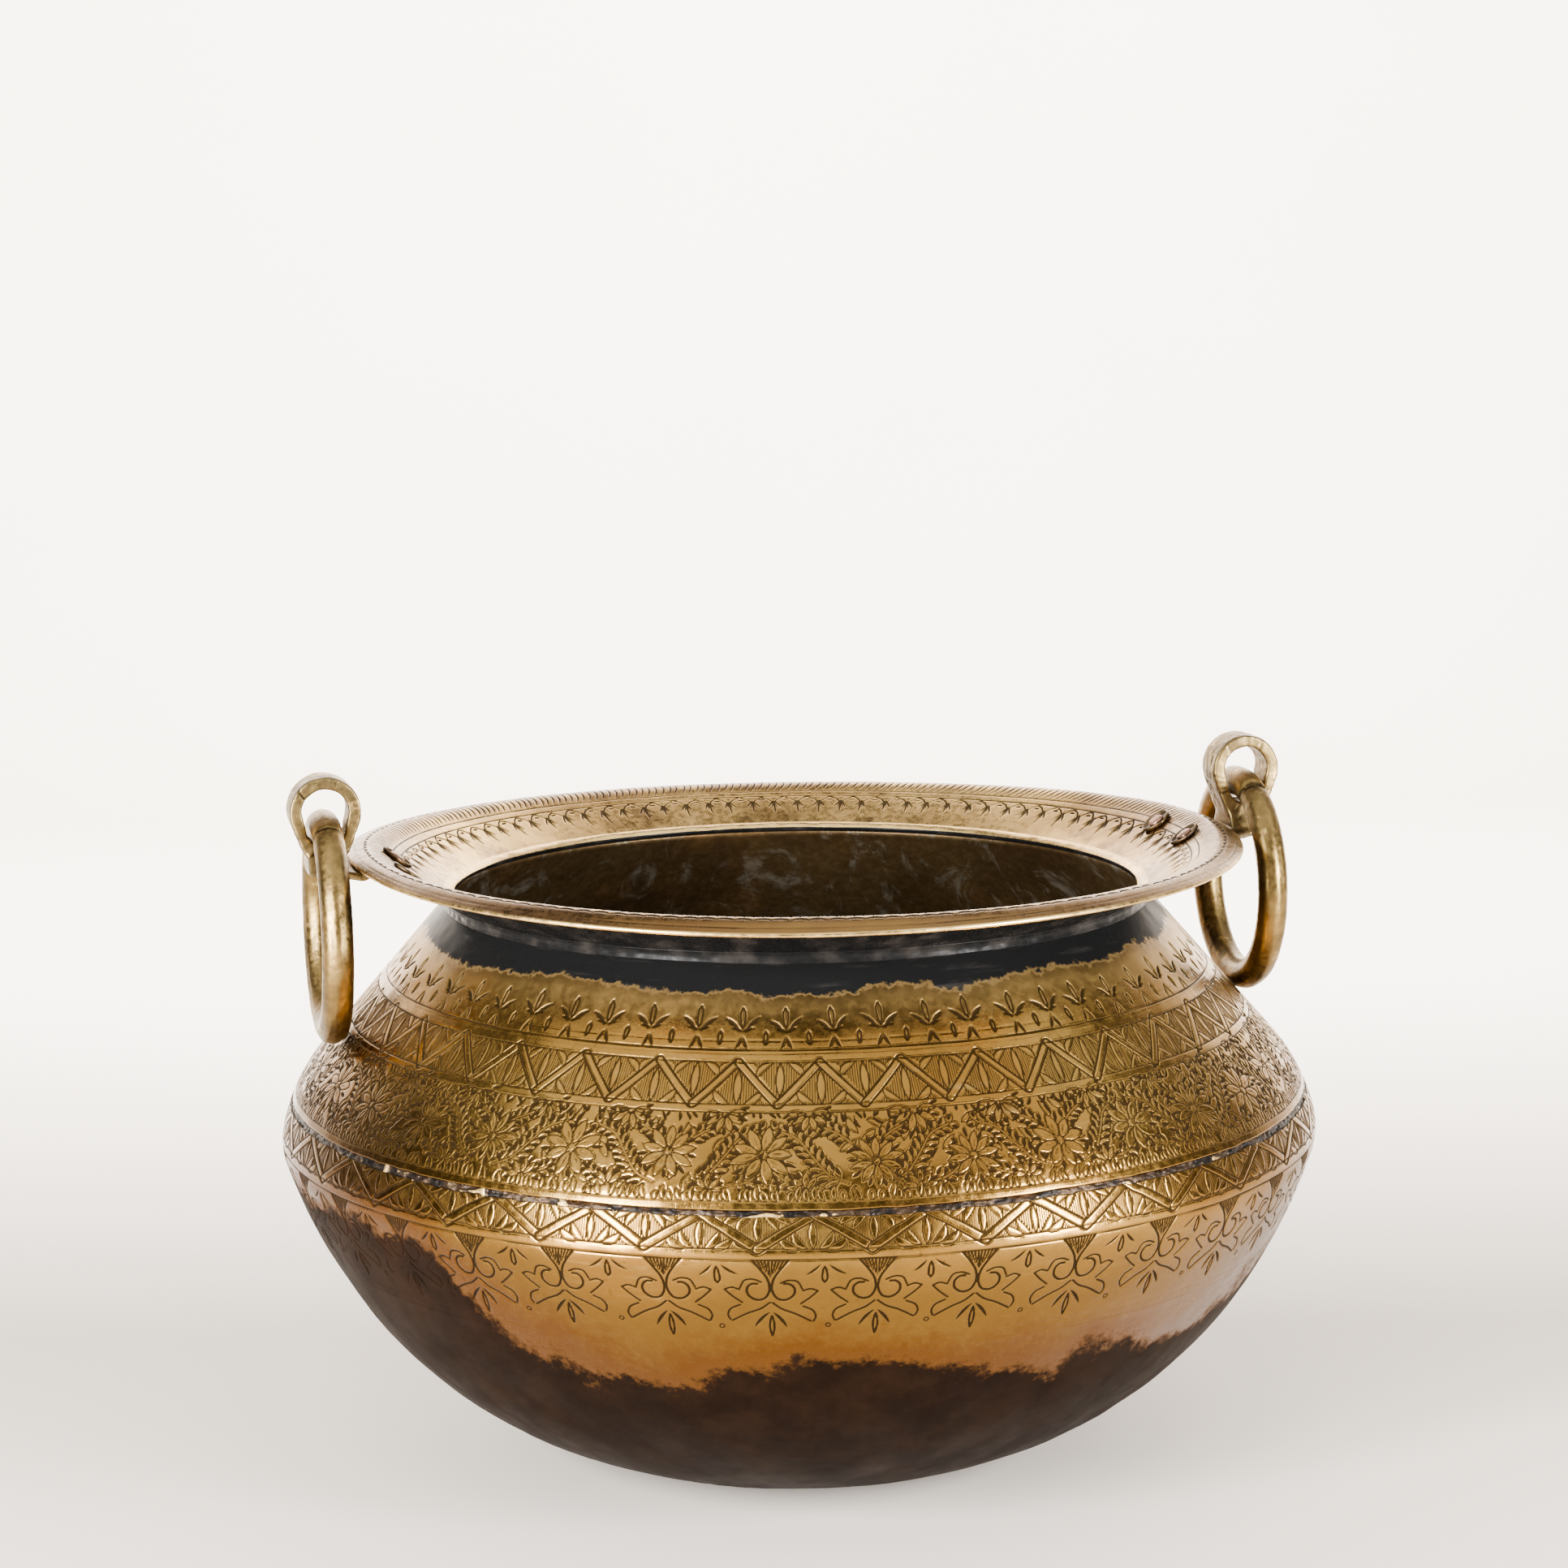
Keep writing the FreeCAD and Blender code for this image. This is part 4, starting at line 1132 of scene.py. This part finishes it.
def engraved_brass():
    """Warm brass with dark engraving, a neck black with soot and painted shade, and a dark,
    fire-brown underside.
    """
    s = Surface("engraved_brass")
    height, side = s.along("Z"), s.along("X")
    clouds = s.noise(7.0, 4.0)
    blotch = s.noise(24.0, 5.0, 0.6)
    grain = s.noise(260.0, 4.0, 0.65)
    streaks = s.noise(30.0, 4.0, 0.6, (1, 1, 9.0))
    s.color = s.mix(s.ramp(clouds, 0.36, 0.64), GOLD, AMBER)
    s.tint(OLIVE, blotch, 0.52, 0.76, 0.5)
    s.tint(PALE_GOLD, streaks, 0.55, 0.8, 0.3)
    s.tint(GROUND, s.noise(170.0, 3.0), 0.66, 0.75, 0.45)
    # The fire reached higher at the left, and a little higher at the right.
    left, right = s.ramp(side, -0.12, -0.235, 0, 0.055), s.ramp(side, 0.14, 0.24, 0, 0.030)
    fallen = s.sum(height, s.sum(left, right), "SUBTRACT")
    s.tint(FIRED, s.sum(fallen, s.spread(clouds, -0.02, 0.02)), *AMBER_ZONE, 0.8)
    edge = s.ramp(clouds, 0.25, 0.75, -0.012, 0.016)
    edge = s.sum(edge, s.ramp(blotch, 0.25, 0.75, -0.007, 0.007))
    ragged = s.sum(s.sum(fallen, edge), s.spread(grain, -0.003, 0.003))
    s.tint(RUST, ragged, *RUST_ZONE, 0.85)
    # Painted light: the shoulder just under the rim is lightened, standing in for the light the rim
    # blocks.
    s.tint(PALE_GOLD, height, *PAINTED_LIGHT_ZONE, 0.45)
    cut = s.cut()
    s.tint(GROUND, cut, 0.10, 0.55, 0.97)
    burnt = s.ramp(ragged, *BURNT_ZONE)
    umber = s.mix(s.ramp(s.noise(40.0, 5.0, 0.65), 0.35, 0.7), UMBER, (0.008, 0.0034, 0.0014))
    ash = s.ramp(s.noise(95.0, 6.0, 0.75), 0.66, 0.80, 0, 0.30)
    umber = s.mix(ash, umber, (0.022, 0.015, 0.010))
    s.color = s.mix(burnt, s.color, umber)
    wander = s.sum(s.spread(blotch, -0.003, 0.003), s.spread(grain, -0.001, 0.001))
    neck = s.sum(height, wander)
    # Soot and painted shade: the neck and the shoulder just under the rim turn black.
    sooty = s.ramp(neck, *SOOT_AND_SHADE_ZONE)
    s.tint((0.09, 0.05, 0.02), neck, *BROWN_ZONE, 0.5)
    soot = s.mix(s.ramp(streaks, 0.55, 0.8), SOOT, (0.013, 0.012, 0.011))
    s.color = s.mix(sooty, s.color, soot)
    roughness = s.ramp(grain, 0.3, 0.75, 0.15, 0.31)
    roughness = s.blend(s.ramp(height, *PAINTED_LIGHT_ZONE, 0, 0.45), roughness, 0.55)
    roughness = s.blend(s.ramp(cut, 0.1, 0.6), roughness, 0.7)
    roughness = s.blend(burnt, roughness, s.spread(blotch, 0.46, 0.60))
    roughness = s.blend(sooty, roughness, 0.25)
    metallic = s.blend(s.sum(burnt, sooty, "MAXIMUM"), 1.0, 0.0)
    scratch = s.ramp(s.noise(55.0, 2.0, 0.5, (6.0, 6.0, 0.7), 1.5), 0.47, 0.53)
    normal = s.bump(scratch, 0.00003, 0.3, s.bump(grain, 0.00004, 0.35))
    s.shader.inputs["Specular IOR Level"].default_value = 0.02
    return s.finish(roughness, metallic, normal)


def inside_brass():
    """The inside: dark brown and olive, with grey scale and scour marks."""
    s = Surface("inside_brass")
    patch = s.noise(9.0, 5.0, 0.6)
    streak = s.noise(26.0, 6.0, 0.7, (1, 1, 0.3), 2.0)
    grain = s.noise(240.0, 4.0)
    s.color = s.mix(s.ramp(patch, 0.35, 0.65), (0.058, 0.032, 0.011), (0.105, 0.066, 0.025))
    s.tint((0.20, 0.175, 0.13), streak, 0.52, 0.66, 0.75)
    s.tint((0.18, 0.095, 0.030), s.noise(14.0, 4.0, 0.6, (1, 1, 0.4)), 0.5, 0.7, 0.6)
    return s.finish(s.spread(grain, 0.36, 0.58), 0.75, s.bump(grain, 0.0003, 0.5))


def sooty_metal():
    """Brass under a coat of shiny black soot, for the neck's bead and the rim's underside."""
    s = Surface("sooty_metal")
    grain = s.noise(300.0, 4.0, 0.6)
    s.color = s.mix(s.ramp(s.noise(60.0, 4.0), 0.45, 0.75), SOOT, (0.020, 0.017, 0.015))
    s.shader.inputs["Specular IOR Level"].default_value = 0.05
    return s.finish(s.spread(grain, 0.24, 0.42), 0.0, s.bump(grain, 0.00008, 0.4))


def rim_brass():
    """The rim: golden near the throat, brown with painted shade and stained at its margin, with
    dark lines.
    """
    s = Surface("rim_brass")
    reach, side = s.reach(), s.along("X")
    clouds = s.noise(9.0, 4.0)
    blotch = s.noise(36.0, 5.0, 0.6)
    grain = s.noise(300.0, 4.0, 0.65)
    strayed = s.sum(reach, s.spread(blotch, -0.003, 0.003))
    # Painted shade: the rim darkens towards both its ends, left and right.
    painted_shade_ends = s.ramp(s.sum(side, side, "MULTIPLY"), 0.022, 0.042)
    brown = s.sum(s.ramp(strayed, 0.190, 0.207), s.sum(painted_shade_ends, 0.9, "MULTIPLY"), "MAXIMUM")
    patches = s.ramp(clouds, 0.35, 0.65)
    inner = s.mix(patches, (0.80, 0.520, 0.175), (0.60, 0.360, 0.105))
    # The margin colour is a painted-shade copy of the rim's brass, darker where the rim bends over
    # to its edge.
    margin = s.mix(patches, (0.190, 0.105, 0.032), (0.130, 0.066, 0.022))
    s.color = s.mix(brown, inner, margin)
    # More painted shade at both ends of the rim.
    s.color = s.mix(s.sum(painted_shade_ends, 0.7, "MULTIPLY"), s.color, (0.150, 0.076, 0.013))
    stain = s.ramp(strayed, 0.186, 0.169, 0.25, 0.75)
    streak = s.ramp(s.noise(30.0, 5.0, 0.65, (1, 1, 0.4)), 0.46, 0.62)
    s.color = s.mix(s.sum(stain, streak, "MULTIPLY"), s.color, (0.13, 0.07, 0.025))
    s.tint((0.16, 0.09, 0.04), blotch, 0.55, 0.75, 0.5)
    cut = s.cut()
    s.tint(GROUND, cut, 0.08, 0.5, 0.95)
    edges = s.sum(s.ramp(reach, 0.1708, 0.1698), s.ramp(reach, 0.2145, 0.2155), "MAXIMUM")
    worn = s.sum(edges, s.ramp(blotch, 0.40, 0.55, 0.55, 1), "MULTIPLY")
    s.color = s.mix(worn, s.color, (0.80, 0.54, 0.20))
    roughness = s.blend(s.ramp(cut, 0.1, 0.6), s.ramp(grain, 0.3, 0.75, 0.22, 0.42), 0.65)
    return s.finish(roughness, 1.0, s.bump(grain, 0.00004, 0.35))


def old_brass(name, light, dark, rough):
    """Handled brass: dull and brown in the hollows, rubbed bright on the high spots."""
    s = Surface(name)
    blotch = s.noise(60.0, 5.0, 0.62)
    grain = s.noise(420.0, 4.0, 0.65)
    s.color = s.mix(s.ramp(blotch, 0.35, 0.65), light, dark)
    s.tint(PALE_GOLD, s.noise(150.0, 4.0, 0.6), 0.6, 0.72, 0.8)
    s.tint(GROUND, s.cut(), 0.2, 0.8, 0.85)
    normal = s.bump(blotch, 0.0005, 0.35, s.bump(grain, 0.0002, 0.5))
    return s.finish(s.ramp(grain, 0.3, 0.75, rough, rough + 0.2), 1.0, normal)


def braze_metal():
    """Blackened braze, with brass where it bridges the seam and bright rubbed specks."""
    s = Surface("braze_metal")
    grain = s.noise(420.0, 5.0, 0.7)
    blotch = s.noise(110.0, 4.0)
    s.color = s.mix(s.ramp(blotch, 0.4, 0.62), (0.008, 0.006, 0.005), (0.035, 0.020, 0.010))
    s.tint((0.50, 0.45, 0.36), grain, 0.66, 0.74)
    s.tint((0.50, 0.32, 0.11), s.cut(), 0.45, 0.1, 0.9)
    return s.finish(s.spread(grain, 0.26, 0.55), 0.85, s.bump(grain, 0.0004, 0.7))


def copper_metal():
    """Dull rosy copper with brown hollows."""
    s = Surface("rivet_copper")
    grain = s.noise(700.0, 4.0)
    hollows = s.ramp(s.noise(170.0, 4.0, 0.6), 0.35, 0.65)
    s.color = s.mix(hollows, (0.46, 0.25, 0.17), (0.17, 0.09, 0.055))
    return s.finish(s.spread(grain, 0.3, 0.52), 1.0, s.bump(grain, 0.0002, 0.5))


def make_stage():
    """A plain pale floor that curves up into a backdrop behind the vessel."""
    s = Surface("studio_paper")
    s.color = s.mix(s.noise(3.0, 2.0), (0.63, 0.560, 0.485), (0.67, 0.600, 0.525))
    paper = s.finish(0.85, 0.0, s.bump(s.noise(900.0, 2.0), 0.0001, 0.2))
    nearest, depth, width, bend, rise = -3.2, 1.9, 5.0, 0.7, 3.4
    line = [(nearest, 0.0), (depth, 0.0)]
    for turn in np.linspace(0, math.pi / 2, 13)[1:]:
        line.append((depth + bend * math.sin(turn), bend * (1 - math.cos(turn))))
    line.append((depth + bend, rise))
    points = [(side * width, along, up) for along, up in line for side in (-1, 1)]
    faces = [(2 * i, 2 * i + 1, 2 * i + 3, 2 * i + 2) for i in range(len(line) - 1)]
    mesh = bpy.data.meshes.new("studio_sweep")
    mesh.from_pydata(points, [], faces)
    mesh.materials.append(paper)
    mesh.polygons.foreach_set("use_smooth", [True] * len(faces))
    sweep = add_object("studio_sweep", mesh)
    sweep.rotation_euler.z = -VIEW_TURN


# The camera: its turn round the vessel, its distance and height in metres, and its aim.
VIEW_TURN = math.radians(12.5)
VIEW_DISTANCE = 1.745
VIEW_HEIGHT = 0.592
VIEW_PITCH = math.radians(8.77)
VIEW_OFFSET = -0.005
VIEW_ROLL = -0.0135
LENS = 83.85


def make_camera():
    """The camera at the viewing angle, given in the vessel's frame."""
    camera_data = bpy.data.cameras.new("camera")
    camera_data.lens = LENS
    camera_data.sensor_width = 36.0
    camera = add_object("camera", camera_data)
    across, ahead = math.cos(VIEW_TURN), math.sin(VIEW_TURN)
    camera.location = (
        VIEW_OFFSET * across - VIEW_DISTANCE * ahead,
        -VIEW_OFFSET * ahead - VIEW_DISTANCE * across,
        VIEW_HEIGHT,
    )
    aim = Vector((
        math.cos(VIEW_PITCH) * ahead, math.cos(VIEW_PITCH) * across, -math.sin(VIEW_PITCH)
    ))
    camera.rotation_mode = "QUATERNION"
    camera.rotation_quaternion = aim.to_track_quat("-Z", "Y") @ Quaternion((0, 0, 1), VIEW_ROLL)
    bpy.context.scene.camera = camera


def studio_point(along, aside, up):
    """A point in the camera's directions: ahead of it, to its right, and up from the floor."""
    point = Vector((aside, along, up))
    point.rotate(Quaternion((0, 0, 1), -VIEW_TURN))
    return point


def add_light(name, place, target, size, power):
    """A rectangular area light at a place in the studio, facing a target."""
    data = bpy.data.lights.new(name, "AREA")
    data.shape = "RECTANGLE"
    data.size, data.size_y = size
    data.energy = power
    light = add_object(name, data)
    light.location = place
    light.rotation_euler = (target - place).to_track_quat("-Z", "Y").to_euler()


def make_lights():
    """Two softboxes beside the camera, one overhead, one that whitens the backdrop, and dim air."""
    middle = Vector((0, 0, 0.17))
    backdrop = studio_point(2.6, 0, 0.5)
    for name, place, target, size, power in (
        ("softbox_left", (-1.25, -1.00, 0.52), middle, (0.28, 1.0), 155),
        ("softbox_right", (-1.05, 1.30, 0.50), middle, (0.28, 0.95), 115),
        ("overhead", (-0.35, 0.1, 2.05), middle, (4.0, 1.9), 50),
        ("backdrop_wash", (0.8, 0, 1.35), backdrop, (3.4, 0.4), 560),
    ):
        add_light(name, studio_point(*place), target, size, power)
    world = bpy.data.worlds.new("studio_air")
    world.use_nodes = True
    air = world.node_tree.nodes["Background"]
    air.inputs["Color"].default_value = (0.96, 0.93, 0.90, 1)
    air.inputs["Strength"].default_value = 0.22
    bpy.context.scene.world = world


def main():
    make_camera()
    make_stage()
    make_lights()
    brass = [engraved_brass(), inside_brass()]
    sooty = [sooty_metal()]
    rim = [rim_brass(), *sooty]
    cast = [old_brass("cast_brass", (0.23, 0.158, 0.060), (0.105, 0.073, 0.030), 0.34)]
    forged = [old_brass("forged_brass", (0.26, 0.168, 0.054), (0.125, 0.082, 0.027), 0.28)]
    rove = [old_brass("rove_brass", (0.15, 0.10, 0.052), (0.055, 0.037, 0.022), 0.32)]
    braze = [braze_metal()]
    copper = [copper_metal()]
    make_lower_bowl(brass)
    make_upper_shoulder(brass)
    make_belly_braze(braze)
    make_neck_braze(sooty)
    make_rim(rim)
    for side, hand in ((-1, "left"), (1, "right")):
        make_lug(f"{hand}_lug_cast", f"{hand}_handle_lug", cast, SEED + 80 + side)
        make_ring(hand, side, forged, SEED + 90 + side)
        for row, end in ((-1, "front"), (1, "rear")):
            place = rivet_frame(side, row)
            seed = SEED + 100 + 10 * side + row
            stem = f"{hand}_{end}"
            make_rivet(f"{stem}_rivet_copper", f"{stem}_rivet", place, copper, seed)
            make_rove(f"{stem}_rove_brass", f"{stem}_rove", place, rove, seed + 40)


main()
